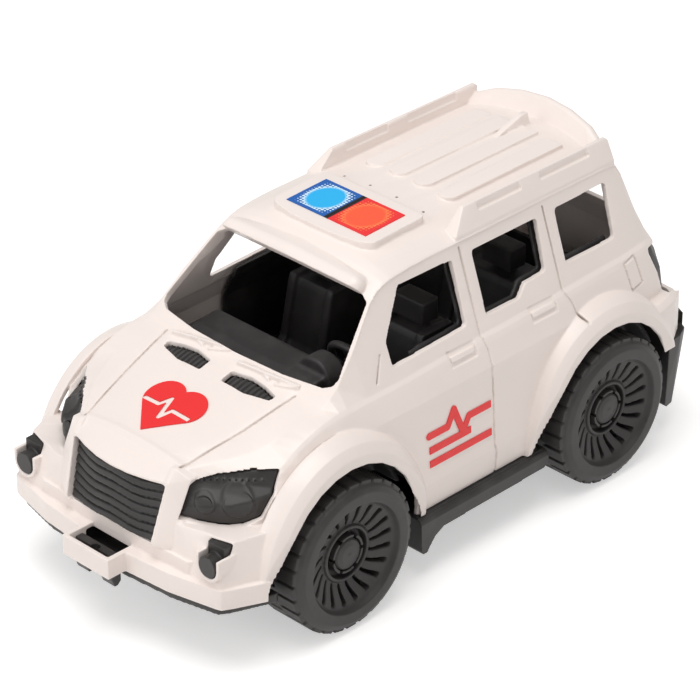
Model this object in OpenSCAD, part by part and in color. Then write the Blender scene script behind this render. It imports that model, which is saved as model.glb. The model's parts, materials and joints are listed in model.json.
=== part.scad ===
// Toy ambulance: a white moulded shell on a black chassis, with black trim pieces
// pressed into it, a moulded cabin and four wheels that roll freely.
// +X is the front, +Y the car's left, Z = 0 the ground.

/* [Overall] */
// Distance between the two axles
wheelbase = 150; // [138:1:170]
// From the front axle to the face of the tow box
front_overhang = 75; // [70:1:82]
// From the rear axle to the back of the rear bumper
rear_overhang = 62; // [58:1:70]
// Width of the shell over its lower door crease
body_w = 124; // [116:1:134]
// Height of the roof crown above the ground
body_h = 132; // [126:1:142]

/* [Shell] */
// Wall of the white shell
wall = 2; // [1.6:0.1:2.4]
// Height of the shell's lower edge above the ground
sill_z = 28; // [27:0.5:30]
// How far a wheel flare stands out from the door crease
flare_proud = 6; // [5:0.5:7]
// Air between the tyre and the wheel arch
arch_gap = 6.5; // [5.5:0.5:7.5]
// Width of the shut-line grooves
groove_w = 1; // [0.8:0.1:1.4]
// Depth of the shut-line grooves
groove_depth = 0.9; // [0.6:0.1:1.1]
// Height of the roof rails above the roof edge
rail_h = 7.5; // [5:0.5:9]
// Radius of the round visor over the windscreen
visor_r = 4.4; // [3.6:0.2:5]

/* [Wheels] */
// Outer diameter over the tread blocks
tyre_d = 64; // [60:1:67]
// Width of a wheel
wheel_w = 24; // [21:0.5:25]
// How far a wheel's face stands out from the door crease
wheel_proud = 8.5; // [7.5:0.5:10]
// Diameter of the dished wheel centre
dish_d = 45.6; // [43:0.5:47]
// Depth of the tread blocks
tread_depth = 1.1; // [1:0.1:2]
// Tread blocks in each of the two rows
tread_count = 30; // [24:1:36]
// Curved slots in the wheel centre
blade_count = 20; // [14:1:22]
// Diameter of an axle
axle_d = 6; // [5:0.5:7]
// Gap all round between an axle and a wheel's bore
axle_clearance = 0.06; // [0.03:0.01:0.09]

/* [Chassis] */
// Underside of the chassis pan above the ground
pan_z = 20; // [18:0.5:21]
// Thickness of the chassis pan
pan_t = 3; // [2.4:0.2:3.6]
// Diameter of the screws that hold the shell
screw_d = 2.6; // [2.2:0.2:3]
// Radius of the fog lamps
fog_r = 4.4; // [3.8:0.2:5]

/* [Cabin] */
// Width of a front seat
seat_w = 25; // [22:1:28]
// Height of the cabin floor above the ground
floor_z = 44; // [42:0.5:47]
// Diameter of the steering wheel
steering_d = 25; // [20:1:28]

/* [Hidden] */

// Colours
white_pp = "#f4e9e3";
black_pp = "#3c3a39";
tyre_grey = "#464442";
sticker_blue = "#0f6fc0";
sticker_red = "#f0463c";
steel = "#b9bbbd";

// Fits and small sizes
over = 1;
seat_gap = 0.15;
insert_gap = 0.25;
insert_set = 0.7;
sticker_t = 0.3;
round_fn = 32;

// Wheel arches: the belt of the shell stands just over them
axle_z = tyre_d / 2;
arch_r = tyre_d / 2 + arch_gap;
arch_drop = 4;
arch_z = axle_z - arch_drop;
belt_drop = 0.5;
belt_z = arch_z + arch_r - belt_drop;

// Places along the car: shares of the half wheelbase between the axles, and of an overhang beyond.
// An overhang's first part is taken by the arch. Heights are shares with the belt at one half
mid_x = (rear_overhang - front_overhang) / 2;
half_w = body_w / 2;
nose_arch_share = 0.5133;
tail_arch_share = 0.621;
function past_axle(u, share, whole) =
  u < share ? u / share * arch_r : arch_r + (u - share) / (1 - share) * (whole - arch_r);
function X(s) =
  mid_x + (s > 1 ? wheelbase / 2 + past_axle(s - 1, nose_arch_share, front_overhang)
    : s < -1 ? -wheelbase / 2 - past_axle(-s - 1, tail_arch_share, rear_overhang)
    : s * wheelbase / 2);
function Y(s) = s * half_w;
function Z(s) = s < 1 / 2 ? 2 * s * belt_z : belt_z + (2 * s - 1) * (body_h - belt_z);
function place(shares) = [X(shares[0]), Y(shares[1]), Z(shares[2])];
function mix(a, b, t) = a + (b - a) * t;
function clamp(v, low, high) = min(max(v, low), high);

axle_front_x = X(1);
axle_rear_x = X(-1);
front_end = X(2);
rear_end = X(-2);
wheel_face = half_w + wheel_proud;
wheel_back = wheel_face - wheel_w;
bay_gap = 5;
bay_share = 1 - (tyre_d + 2 * bay_gap) / wheelbase;
flare_y = half_w + flare_proud;

// Shell stations: place along the car, then half width at the crease, belt ridge y and z,
// roof or bonnet edge y and z, and crown height
station_shares = [
  [-1.85, 0.84, 0.76, 0.41, 0.69, 0.415, 0.42],
  [-1.79, 0.89, 0.80, 0.52, 0.71, 0.53, 0.537],
  [-1.71, 0.92, 0.83, 0.65, 0.73, 0.668, 0.68],
  [-1.63, 0.945, 0.85, 0.688, 0.726, 0.735, 0.76],
  [-1.53, 0.965, 0.868, 0.694, 0.69, 0.86, 0.89],
  [-1.45, 0.975, 0.876, 0.692, 0.655, 0.945, 0.99],
  [-1.32, 0.985, 0.884, 0.69, 0.66, 0.953, 1.003],
  [-0.80, 1, 0.885, 0.679, 0.66, 0.953, 1.002],
  [0.13, 1, 0.893, 0.667, 0.66, 0.95, 0.995],
  [0.37, 1, 0.896, 0.662, 0.66, 0.94, 0.982],
  [0.48, 1, 0.897, 0.66, 0.665, 0.917, 0.955],
  [0.573, 1, 0.897, 0.66, 0.695, 0.873, 0.907],
  [0.853, 1, 0.897, 0.659, 0.79, 0.711, 0.752],
  [0.96, 1, 0.896, 0.655, 0.785, 0.664, 0.69],
  [1.07, 1, 0.895, 0.643, 0.765, 0.648, 0.673],
  [1.22, 1, 0.897, 0.612, 0.735, 0.625, 0.65],
  [1.333, 0.985, 0.895, 0.573, 0.70, 0.606, 0.634],
  [1.49, 0.905, 0.735, 0.563, 0.60, 0.589, 0.613],
  [1.60, 0.80, 0.585, 0.549, 0.50, 0.575, 0.597],
  [1.68, 0.665, 0.505, 0.54, 0.44, 0.567, 0.587],
  [1.72, 0.575, 0.47, 0.525, 0.42, 0.545, 0.557],
  [1.75, 0.53, 0.44, 0.48, 0.40, 0.49, 0.495]
];
last = len(station_shares) - 1;
loft_steps = 2;
function stations(steps) = concat(
  [for (i = [0:last - 1]) for (j = [0:(rise_free(i) ? 1 : steps) - 1])
    mix(station_shares[i][0], station_shares[i + 1][0], j / (rise_free(i) ? 1 : steps))],
  [station_shares[last][0]]);

// A stretch so straight that it needs no station in between
straight_share = 0.3;
function rise_free(i) = station_shares[i + 1][0] - station_shares[i][0] > straight_share;

// Smooth interpolation of one column of the stations, which never overshoots
function row(s) = max([for (i = [0:last - 1]) if (i == 0 || station_shares[i][0] <= s) i]);
function rise(i, k) =
  (station_shares[i + 1][k] - station_shares[i][k]) / (station_shares[i + 1][0] - station_shares[i][0]);
function gentle(a, b) = a * b <= 0 ? 0 : 2 * a * b / (a + b);
function tangent(i, k) = i == 0 ? rise(0, k) : i == last ? rise(last - 1, k) : gentle(rise(i - 1, k),
  rise(i, k));
function shape(s, k) =
  let (i = row(s), w = station_shares[i + 1][0] - station_shares[i][0], t =
    (s - station_shares[i][0]) / w)
  (2 * t ^ 3 - 3 * t ^ 2 + 1) * station_shares[i][k] + (t ^ 3 - 2 * t ^ 2 + t) * w * tangent(i, k)
  + (3 * t ^ 2 - 2 * t ^ 3) * station_shares[i + 1][k] + (t ^ 3 - t ^ 2) * w * tangent(i + 1, k);

// Cross-section of the shell at a station, drawn in by an inset
sill_share = 0.985;
crease_share = 0.30;
door_crease_share = 0.58;
door_share = 0.965;
crown_shares = [0.84, 0.66, 0.46, 0.24];
inner_crown_shares = [0.7, 0.36];
ridge_h = 3.6;
ridge_step = 1.5;
gutter_h = 1.8;
gutter_proud = 0.9;
roof_crown_power = 2.7;
function tallness(s) = clamp((shape(s, 5) - shape(s, 3)) / (door_share - door_crease_share), 0, 1);
function crown(s, c) = 1 - abs(c) ^ mix(2, roof_crown_power, tallness(s));
function section(s, inset) =
  let (
    low = Y(shape(s, 1)) - inset,
    ridge_y = Y(shape(s, 2)) - inset,
    ridge_z = Z(shape(s, 3)),
    edge_y = Y(shape(s, 4)) - inset,
    edge_z = Z(shape(s, 5)) - inset,
    top_z = Z(shape(s, 6)) - inset,
    door_z = min(Z(door_crease_share), ridge_z - 2 * ridge_h),
    tall = tallness(s),
    half = concat(
      [
        [low * sill_share, inset > 0 ? sill_z - 2 * over : sill_z],
        [low, min(Z(crease_share), door_z - ridge_h)],
        [low * door_share, door_z],
        [mix(ridge_y, low * door_share, 1 / 4), ridge_z - ridge_h],
        [ridge_y, ridge_z - ridge_step],
        [ridge_y - ridge_step, ridge_z],
        [edge_y, edge_z - gutter_h * tall]
      ],
      inset > 0 ? [] : [[edge_y + tall * gutter_proud, edge_z - gutter_h * tall / 2]],
      [[edge_y - ridge_step * tall / 2, edge_z]],
      [for (c = inset > 0 ? inner_crown_shares : crown_shares) [edge_y * c,
        edge_z + (top_z - edge_z) * crown(s, c)]],
      [[0, top_z]]),
    n = len(half)
  )
  concat(half, [for (i = [n - 2:-1:0]) [-half[i][0], half[i][1]]]);

// Closed skin through a list of rings
function ring_faces(rings, n) = concat(
  [[for (j = [0:n - 1]) j]],
  [for (i = [0:rings - 2]) for (j = [0:n - 1]) let (k = (j + 1) % n)
    each [[i * n + j, (i + 1) * n + k, i * n + k], [i * n + j, (i + 1) * n + j, (i + 1) * n + k]]],
  [[for (j = [n - 1:-1:0]) (rings - 1) * n + j]]);

// The shell's solid form; an inset of a wall gives its hollow
module shell_form(inset = 0) {
  x_mid = X(0);
  x_len = X(station_shares[last][0]) - X(station_shares[0][0]);
  squeeze = (x_len - 2 * inset) / x_len;
  rings = [for (s = stations(inset > 0 ? 1 : loft_steps)) [for (p =
    section(s, inset)) [x_mid + (X(s) - x_mid) * squeeze, p[0], p[1]]]];
  n = len(rings[0]);
  polyhedron([for (r = rings) each r], ring_faces(len(rings), n), convexity = 8);
}

// Height of the outer skin over a point of the bonnet or roof
function skin_z(s, y) =
  let (edge = Y(shape(s, 4)), c = clamp(y / edge, -1, 1))
  mix(Z(shape(s, 5)), Z(shape(s, 6)), crown(s, c));

module mirror_y() {
  children();
  mirror([0, 1, 0]) children();
}

// Upright prism from an outline in plan
module plan(z_low, z_high, outline) {
  translate([0, 0, z_low]) linear_extrude(z_high - z_low) polygon(outline);
}

// Prism along Y from an outline in X and Z
module across(y_low, y_high, outline) {
  translate([0, y_high, 0]) rotate([90, 0, 0]) linear_extrude(y_high - y_low) polygon(outline);
}

// Front bumper: top and foot of its face, the lower band, the lip and the tow box
bumper_top_share = 0.434;
band_top_share = 0.344;
lip_top_share = 0.302;
lip_h = 8.8;
lip_top_z = Z(lip_top_share);
lip_z = lip_top_z - lip_h;
bumper_top_shares = [[1.76, 0.52], [1.745, 0.6], [1.67, 0.915], [1.52, 0.98], [1.40, 1.02]];
bumper_foot_shares = [[1.80, 0.40], [1.795, 0.70], [1.78, 0.915], [1.52, 1.05], [1.40, 1.06]];
band_shares = [[1.815, 0], [1.812, 0.30], [1.803, 0.66], [1.785, 0.685]];
lip_shares = [[1.888, 0], [1.886, 0.2], [1.862, 0.56], [1.80, 0.90], [1.79, 0.935], [1.74, 0.97],
  [1.505, 1.10], [1.44, 1.10]];
function both_sides(shares, inset = 0, way = 1) =
  let (half = [for (p = shares) [X(p[0]) - way * inset, Y(p[1]) - (p[1] > 0 ? inset : 0)]])
  concat(half, [for (i = [len(half) - 1:-1:0]) if (half[i][1] > 0) [half[i][0], -half[i][1]]]);
box_half = 13;
box_wall = 2;
box_back_share = 1.84;

module bumper_form(in_y = 0) {
  hull() {
    plan(Z(bumper_top_share) - in_y - wall / 4, Z(bumper_top_share) - in_y,
      both_sides(bumper_top_shares, in_y));
    plan(lip_top_z, lip_top_z + wall / 4, both_sides(bumper_foot_shares, in_y));
  }
  plan(in_y > 0 ? sill_z - over : lip_z, lip_top_z + over, both_sides(bumper_foot_shares, in_y));
}

module bumper_front() {
  bumper_form();
  plan(lip_z, Z(band_top_share), both_sides(band_shares));
  plan(lip_z, lip_top_z, both_sides(lip_shares));
  translate([X(box_back_share), -box_half, lip_z])
    cube([front_end - X(box_back_share), 2 * box_half, lip_h]);
}

module bumper_hollow() {
  bumper_form(wall);
  plan(sill_z - over, lip_top_z - wall, both_sides(lip_shares, wall));
  translate([X(box_back_share) - box_wall, -box_half + box_wall, lip_z - over])
    cube([front_end - X(box_back_share), 2 * (box_half - box_wall), lip_h + 2 * over]);
}

// White rear bumper block behind the rear wheels
block_top_share = 0.505;
block_foot_share = 0.347;
block_shares = [[-1.90, 0], [-1.895, 0.5], [-1.87, 0.86], [-1.83, 0.945], [-1.70, 1.02], [-1.55, 1.06],
  [-1.38, 1.08]];
block_slope = 2;
module block_form(inset = 0) {
  foot = Z(block_foot_share) - inset;
  top = Z(block_top_share) - inset;
  hull() {
    plan(foot, top - block_slope, both_sides(block_shares, inset, -1));
    plan(foot, top, both_sides(block_shares, inset + block_slope, -1));
  }
}

// Wheel flare: a bent sheet swept over the arch, taller than it is wide
flare_width_share = 1.2;
flare_height_share = 1.37;
flare_lip = 4;
flare_foot_proud = 1.2;
flare_rise_share = 0.46;
flare_skin_shares = [[0.35, 0], [0.43, 0.08], [0.8, 0.45], [1, 1.15], [1.1, 1.65]];
module flare() {
  band = arch_r * (flare_width_share - 1);
  skin = concat([[arch_r - over, flare_y]],
    [for (p = flare_skin_shares) [arch_r + band * p[0], mix(flare_y, half_w, p[1])]]);
  sheet = concat(skin, [for (i = [5, 3, 0]) [skin[i][0] - (i > 0 ? wall : 0),
    skin[i][1] - (i < 5 ? wall : 0)]]);
  intersection() {
    scale([1, 1, flare_height_share / flare_width_share])
      rotate([90, 0, 180]) rotate_extrude(angle = 180, $fn = 28) polygon(sheet);
    translate([-body_w, 0, -arch_z]) rotate([90, 0, 90]) linear_extrude(2 * body_w) polygon([
      [0, 0], [half_w + flare_foot_proud, 0], [half_w + flare_foot_proud, sill_z],
      [flare_y + over, Z(flare_rise_share)], [flare_y + over, body_h], [0, body_h]]);
  }
}

module at_arches() {
  for (x = [axle_front_x, axle_rear_x]) translate([x, 0, arch_z]) children();
}

// Side windows, drawn in X and Z
front_window_shares = [[0.49, 0.70], [0.49, 0.775], [0.325, 0.908], [-0.068, 0.905], [-0.055, 0.711]];
rear_window_shares = [[-0.215, 0.905], [-0.715, 0.905], [-0.69, 0.75], [-0.53, 0.745], [-0.46, 0.712],
  [-0.21, 0.712]];
quarter_window_shares = [[-0.855, 0.906], [-1.32, 0.91], [-1.285, 0.745], [-0.85, 0.743]];
window_corner = 1.6;
function side_points(shares) = [for (p = shares) [X(p[0]), Z(p[1])]];
module window_prism(shares, y_low, y_high, grow = 0) {
  translate([0, y_high, 0]) rotate([90, 0, 0]) linear_extrude(y_high - y_low)
    offset(r = window_corner + grow, $fn = 12) offset(delta = -window_corner)
      polygon(side_points(shares));
}
module side_windows(y_low, y_high, grow = 0) {
  for (shares = [front_window_shares, rear_window_shares, quarter_window_shares])
    window_prism(shares, y_low, y_high, grow);
}

// Windscreen: an outline laid on its raked plane, from the cowl up to the visor
screen_base_shares = [0.945, 0.693];
screen_top_shares = [0.573, 0.905];
screen_base = [X(screen_base_shares[0]), Z(screen_base_shares[1])];
screen_top = [X(screen_top_shares[0]), Z(screen_top_shares[1])];
screen_len = norm(screen_top - screen_base);
screen_rake = atan2(screen_top[1] - screen_base[1], screen_base[0] - screen_top[0]);
screen_shares = [[0.02, 0], [0.04, 0.4], [0.10, 0.70], [0.16, 0.755], [0.24, 0.765], [1.02, 0.66],
  [1.08, 0.6], [1.08, 0]];
screen_depth = 40;
module windscreen_prism(grow = 0) {
  outline = concat(
    [for (p = screen_shares) [p[0] * screen_len, Y(p[1])]],
    [for (i = [len(screen_shares) - 2:-1:1]) [screen_shares[i][0] * screen_len,
      -Y(screen_shares[i][1])]]);
  translate([screen_base[0], 0, screen_base[1]]) rotate([0, screen_rake, 0]) rotate([0, 0, 180])
    translate([0, 0, -screen_depth / 2]) linear_extrude(screen_depth)
      offset(r = window_corner + grow, $fn = 12) offset(delta = -window_corner) polygon(outline);
}

// Rear window in the tailgate
tail_window_shares = [[0.62, 0.765], [0.54, 0.90]];
tail_window_x_shares = [-1.9, -1.4];
module tail_window() {
  outline = [for (q = [[1, 0], [1, 1], [-1, 1], [-1, 0]])
    [q[0] * Y(tail_window_shares[q[1]][0]), Z(tail_window_shares[q[1]][1])]];
  translate([X(tail_window_x_shares[0]), 0, 0]) rotate([90, 0, 90])
    linear_extrude(X(tail_window_x_shares[1]) - X(tail_window_x_shares[0]))
    offset(r = window_corner, $fn = 12) offset(delta = -window_corner) polygon(outline);
}

// Grille opening and its bulged face
grille_top_shares = [1.728, 0.41, 0.53];
grille_foot_shares = [1.82, 0.378, 0.348];
grille_back_share = 1.55;
grille_top = place(grille_top_shares);
grille_foot = place(grille_foot_shares);
grille_bulge = 5.5;
grille_foot_bulge = 1.5;
grille_t = 5;
function grille_half(z) = mix(grille_foot[1], grille_top[1],
  (z - grille_foot[2]) / (grille_top[2] - grille_foot[2]));
function grille_x(y, z) =
  let (t = (z - grille_foot[2]) / (grille_top[2] - grille_foot[2]), c = y / grille_half(z))
  mix(grille_foot[0], grille_top[0], t) + mix(grille_foot_bulge, grille_bulge, t) * (1 - c ^ 2);
module grille_prism(grow = 0) {
  translate([X(grille_back_share), 0, 0]) rotate([90, 0, 90])
    linear_extrude(front_end - X(grille_back_share)) polygon([
    [grille_foot[1] + grow, grille_foot[2] - grow], [grille_top[1] + grow, grille_top[2] + grow],
    [-grille_top[1] - grow, grille_top[2] + grow], [-grille_foot[1] - grow, grille_foot[2] - grow]]);
}

// White nose round the grille: bonnet lip above it and a pillar on each side
nose_r = 2.4;
nose_steps = 6;
nose_depth = 7;
nose_top_share = 0.562;
nose_back_share = 1.62;
pillar_out_shares = [[1.665, 0.53, 0.54], [1.735, 0.55, 0.44], [1.765, 0.55, 0.35]];
nose_edge_share = 1.69;
module nose_frame() {
  mirror_y() hull() {
    for (p = [grille_top, grille_foot]) translate([p[0] - nose_depth, p[1] - over, p[2] - over / 2])
      cube([nose_depth + nose_r / 2, nose_r, wall]);
    for (p = pillar_out_shares) translate(place(p) - [nose_depth, nose_r, 0])
      cube([nose_depth, nose_r, wall]);
    translate([X(nose_edge_share) - nose_depth, grille_top[1] - over, Z(nose_top_share)])
      cube([nose_depth, nose_r, wall]);
  }
  for (i = [-nose_steps / 2:nose_steps / 2 - 1]) hull() for (k = [i, i + 1]) {
    y = k * 2 / nose_steps * (grille_top[1] + over);
    x = grille_x(clamp(y, -grille_top[1], grille_top[1]), grille_top[2]);
    translate([x - nose_depth, y, grille_top[2] - nose_r])
      cube([nose_depth + nose_r / 4, over / 4, nose_r + wall / 2]);
    translate([X(nose_edge_share) - nose_depth, y, skin_z(nose_edge_share, y) - wall])
      cube([nose_depth, over / 4, wall]);
    translate([X(nose_back_share), y, skin_z(nose_back_share, y) - wall]) cube([wall, over / 4, wall]);
  }
}

// Headlight outline on the swept corner, drawn along its slanted plane and in Z
lamp_in_shares = [1.725, 0.53];
lamp_out_shares = [1.345, 0.92];
lamp_in = [X(lamp_in_shares[0]), Y(lamp_in_shares[1])];
lamp_out = [X(lamp_out_shares[0]), Y(lamp_out_shares[1])];
lamp_run = norm(lamp_out - lamp_in);
lamp_turn = atan2(lamp_out[1] - lamp_in[1], lamp_out[0] - lamp_in[0]);
lamp_shares = [[-0.05, 0.442], [0.08, 0.54], [0.35, 0.562], [0.70, 0.576], [0.985, 0.573], [0.90, 0.51],
  [0.78, 0.452], [0.60, 0.432], [0.36, 0.43]];
lamp_depth = 16;
lamp_t = 4;
module lamp_prism(grow = 0) {
  translate([lamp_in[0], lamp_in[1], 0]) rotate([90, 0, lamp_turn]) translate([0, 0, -lamp_depth])
    linear_extrude(2 * lamp_depth) offset(delta = grow)
      polygon([for (p = lamp_shares) [p[0] * lamp_run, Z(p[1])]]);
}

// Fog lamp in its cradle
fog_shares = [1.812, 0.832, 0.363];
fog_at = place(fog_shares);
fog_len = 12;
fog_wall = 1.8;
fog_box_h = 8;
module fog_cradle() {
  translate([fog_at[0] - fog_len, fog_at[1], fog_at[2]]) {
    rotate([0, 90, 0]) cylinder(r = fog_r + fog_wall, h = fog_len - fog_wall / 2, $fn = round_fn);
    translate([0, -fog_r - fog_wall, 0]) cube([fog_len - fog_wall / 2, 2 * (fog_r + fog_wall), fog_r]);
  }
}
module fog_pocket() {
  translate([fog_at[0] - fog_len, fog_at[1], fog_at[2]]) {
    rotate([0, 90, 0]) cylinder(r = fog_r + insert_gap, h = 2 * fog_len, $fn = round_fn);
    translate([0, -fog_r - insert_gap, 0]) cube([2 * fog_len, 2 * (fog_r + insert_gap), fog_box_h]);
  }
}

// Bonnet vent outline, a leaf with one square end, in plan
vent_shares = [[1.115, 0.095], [1.035, 0.095], [1.01, 0.24], [1.015, 0.36], [1.035, 0.48],
  [1.075, 0.475], [1.115, 0.30]];
vent_t = 3.4;
vent_foot_share = 0.6;
module vent_outline(grow = 0) {
  offset(r = window_corner / 2 + grow, $fn = 16) offset(delta = -window_corner / 2)
    polygon([for (p = vent_shares) [X(p[0]), Y(p[1])]]);
}

// Tail light pocket at the rear corner
tail_low_shares = [-1.83, 0.80, 0.47];
tail_top_shares = [-1.66, 0.84, 0.655];
tail_low = place(tail_low_shares);
tail_top = place(tail_top_shares);
tail_w = 9;
tail_d = 6;
module tail_prism(grow = 0) {
  hull() for (p = [tail_low, tail_top]) translate([p[0] - tail_d, p[1] - tail_w - grow, p[2] - grow])
    cube([2 * tail_d + grow, 2 * tail_w + 2 * grow, wall + 2 * grow]);
}

// Grooves that mark doors, bonnet and fuel flap
b_line_shares = [[-0.135, 0.928], [-0.135, 0.665], [-0.15, 0.62], [-0.145, 0.575], [-0.15, 0.31],
  [-0.165, 0.285], [-0.165, 0.2]];
c_line_shares = [[-0.775, 0.928], [-0.775, 0.672], [-0.81, 0.635], [-0.83, 0.58]];
a_line_shares = [[0.55, 0.75], [0.62, 0.68]];
flap_shares = [[-1.30, 0.665], [-1.41, 0.675], [-1.45, 0.585], [-1.335, 0.575], [-1.30, 0.665]];
bonnet_line_shares = [[0.975, 0.575], [1.30, 0.52], [1.66, 0.43]];
module side_groove(shares) {
  for (i = [0:len(shares) - 2]) hull() for (p = [shares[i], shares[i + 1]])
    translate([X(p[0]), 0, Z(p[1])]) rotate([90, 0, 0])
      cylinder(d = groove_w, h = 2 * body_w, center = true, $fn = 6);
}
module grooves() {
  difference() {
    union() {
      side_groove(b_line_shares);
      side_groove(c_line_shares);
      side_groove(a_line_shares);
      side_groove(flap_shares);
    }
    shell_form(groove_depth);
  }
  mirror_y() for (i = [0:len(bonnet_line_shares) - 2]) hull()
    for (p = [bonnet_line_shares[i], bonnet_line_shares[i + 1]])
      translate([X(p[0]), Y(p[1]), skin_z(p[0], Y(p[1])) - groove_depth])
        cylinder(d = groove_w, h = wall + groove_depth, $fn = 8);
}

// Door handle recess and grip
handle_shares = [[-0.075, 0.625], [-0.70, 0.632]];
handle_l = 15;
handle_h = 6;
module handle_pockets() {
  difference() {
    for (p = handle_shares) translate([X(p[0]), -body_w, Z(p[1])]) cube([handle_l, 2 * body_w, handle_h]);
    shell_form(groove_depth);
    for (p = handle_shares) translate([X(p[0]) + groove_w, -body_w, Z(p[1]) + handle_h / 3])
      cube([handle_l - 2 * groove_w, 2 * body_w, handle_h / 3]);
  }
}

// Roof: visor, raised pad, ribs, fin, rails and rear rim
visor_x_share = 0.535;
visor_z_share = 0.938;
visor_end_share = 0.535;
visor_drop = 2;
visor_back_shares = [0.42, 0.955, 0.92];
module visor() {
  mirror_y() hull() {
    translate([X(visor_x_share), 0, Z(visor_z_share)]) rotate([90, 0, 0])
      cylinder(r = visor_r, h = over, center = true, $fn = 16);
    translate([X(visor_x_share) - visor_r / 4, Y(visor_end_share), Z(visor_z_share) - visor_drop])
      sphere(r = visor_r, $fn = 16);
    translate([X(visor_back_shares[0]), 0, Z(visor_back_shares[1])])
      cube([wall, over, wall], center = true);
    translate([X(visor_back_shares[0]), Y(visor_end_share), Z(visor_back_shares[2])])
      cube([wall, over, wall], center = true);
  }
}

pad_shares = [[0.372, 0], [0.365, 0.22], [0.34, 0.37], [0.30, 0.44], [-0.09, 0.44]];
pad_front_z_share = 0.995;
pad_rear_z_share = 1.006;
pad_foot_share = 0.94;
pad_corner = 3;
pad_front_share = 0.4;
pad_rear_share = -0.12;
module pad_outline(grow = 0) {
  offset(r = pad_corner + grow, $fn = 12) offset(delta = -pad_corner)
    polygon(both_sides(pad_shares));
}
module roof_pad() {
  intersection() {
    translate([0, 0, Z(pad_foot_share)]) linear_extrude(body_h) pad_outline();
    across(-half_w, half_w, [
      [X(pad_front_share), Z(pad_foot_share) - over], [X(pad_front_share), pad_z(pad_front_share)],
      [X(pad_rear_share), pad_z(pad_rear_share)], [X(pad_rear_share), Z(pad_foot_share) - over]]);
  }
}
function pad_z(s) =
  mix(Z(pad_rear_z_share), Z(pad_front_z_share),
    (s - pad_rear_share) / (pad_front_share - pad_rear_share));

rib_y_shares = [-0.32, -0.107, 0.107, 0.32];
rib_from_s = -0.31;
rib_to_s = -1.225;
rib_w = 8.4;
rib_h = 1;
module roof_ribs() {
  for (share = rib_y_shares) hull() {
    y = Y(share);
    translate([X(rib_from_s) - rib_w / 2, y, skin_z(rib_from_s, y) - wall])
      cylinder(d = rib_w, h = wall + rib_h, $fn = 20);
    translate([X(rib_to_s), y, skin_z(rib_to_s, y) - wall / 2])
      cube([wall, rib_w, wall + 2 * rib_h], center = true);
  }
}

fin_l = 17;
fin_w = 5;
fin_h = 5;
fin_s = -1.03;
module fin() {
  hull() {
    translate([X(fin_s), -fin_w / 4, skin_z(fin_s, 0) - wall / 2]) cube([wall, fin_w / 2, wall / 2]);
    translate([X(fin_s) - fin_l, -fin_w / 2, skin_z(fin_s, 0) - wall / 2]) cube([wall, fin_w, wall / 2]);
    translate([X(fin_s) - fin_l, -fin_w / 4, skin_z(fin_s, 0)]) cube([fin_l / 5, fin_w / 2, fin_h]);
  }
}

rail_y_share = 0.555;
rail_from_s = -0.17;
rail_to_s = -1.44;
rail_panels_shares = [[-0.33, -0.66], [-0.81, -1.24]];
rail_base_share = 0.945;
rail_foot = 6.5;
rail_top = 2.6;
panel_depth = 0.8;
panel_h = 3.6;
module roof_rail() {
  y = Y(rail_y_share);
  base = Z(rail_base_share);
  top = skin_z(rail_panels_shares[0][1], y) + rail_h;
  slant = rail_h / 2;
  back = X(rail_to_s);
  run = X(rail_from_s) - back;
  difference() {
    hull() {
      translate([back, y, base]) cube([run + slant, rail_foot, wall]);
      translate([back, y, top - wall]) cube([run - slant, rail_top, wall / 2]);
      translate([back + wall / 2, y + wall / 4, top - wall / 2])
        cube([run - slant - wall, rail_top - wall / 2, wall / 2]);
    }
    for (p = rail_panels_shares) {
      translate([X(p[1]), y + rail_top - panel_depth / 2, top - panel_h])
        cube([X(p[0]) - X(p[1]), rail_foot, 2 * panel_h]);
      translate([X(p[1]), y - rail_foot + panel_depth, top - panel_h])
        cube([X(p[0]) - X(p[1]), rail_foot, 2 * panel_h]);
    }
  }
}

rim_shares = [[-1.40, 0.60, 0.99], [-1.47, 0.40, 1.03], [-1.50, 0.2, 1.05], [-1.51, 0, 1.057]];
rim_r = 2.6;
rim_back = 3;
rim_front_share = -1.32;
rim_foot_share = 0.935;
module rear_rim() {
  mirror_y() for (i = [0:len(rim_shares) - 2]) hull() for (p = [rim_shares[i], rim_shares[i + 1]]) {
    translate([X(p[0]), Y(p[1]), Z(p[2]) - rim_r]) sphere(r = rim_r, $fn = 12);
    translate([X(p[0]) + 2 * rim_r, Y(p[1]), skin_z(rim_front_share, Y(p[1])) - wall])
      cube([wall, over, wall], center = true);
    translate([X(p[0]) - rim_back / 2, Y(p[1]), Z(rim_foot_share)])
      cube([wall, over, wall], center = true);
  }
}

// Moulded wipers at the foot of the windscreen
wiper_root_shares = [-0.53, 0.06];
wiper_blade_shares = [[0.985, 0.03], [0.94, 0.50]];
wiper_arm_shares = [[0.985, 0.36], [0.94, 0.50]];
wiper_link_shares = [[0.955, 0.14], [0.985, 0.30]];
wiper_w = 1.6;
wiper_h = 1.8;
module wiper_bar(shares, root, w, lift) {
  hull() for (p = shares) translate([X(p[0]), Y(root + p[1]), skin_z(p[0], Y(root + p[1])) - wall])
    cylinder(d = w, h = wall + lift, $fn = 8);
}
module wipers() {
  for (root = wiper_root_shares) {
    wiper_bar(wiper_blade_shares, root, wiper_w, wiper_h);
    wiper_bar(wiper_arm_shares, root, wiper_w, wiper_h / 2);
    wiper_bar(wiper_link_shares, root, wiper_w / 2, wiper_h / 2);
  }
}

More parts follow.
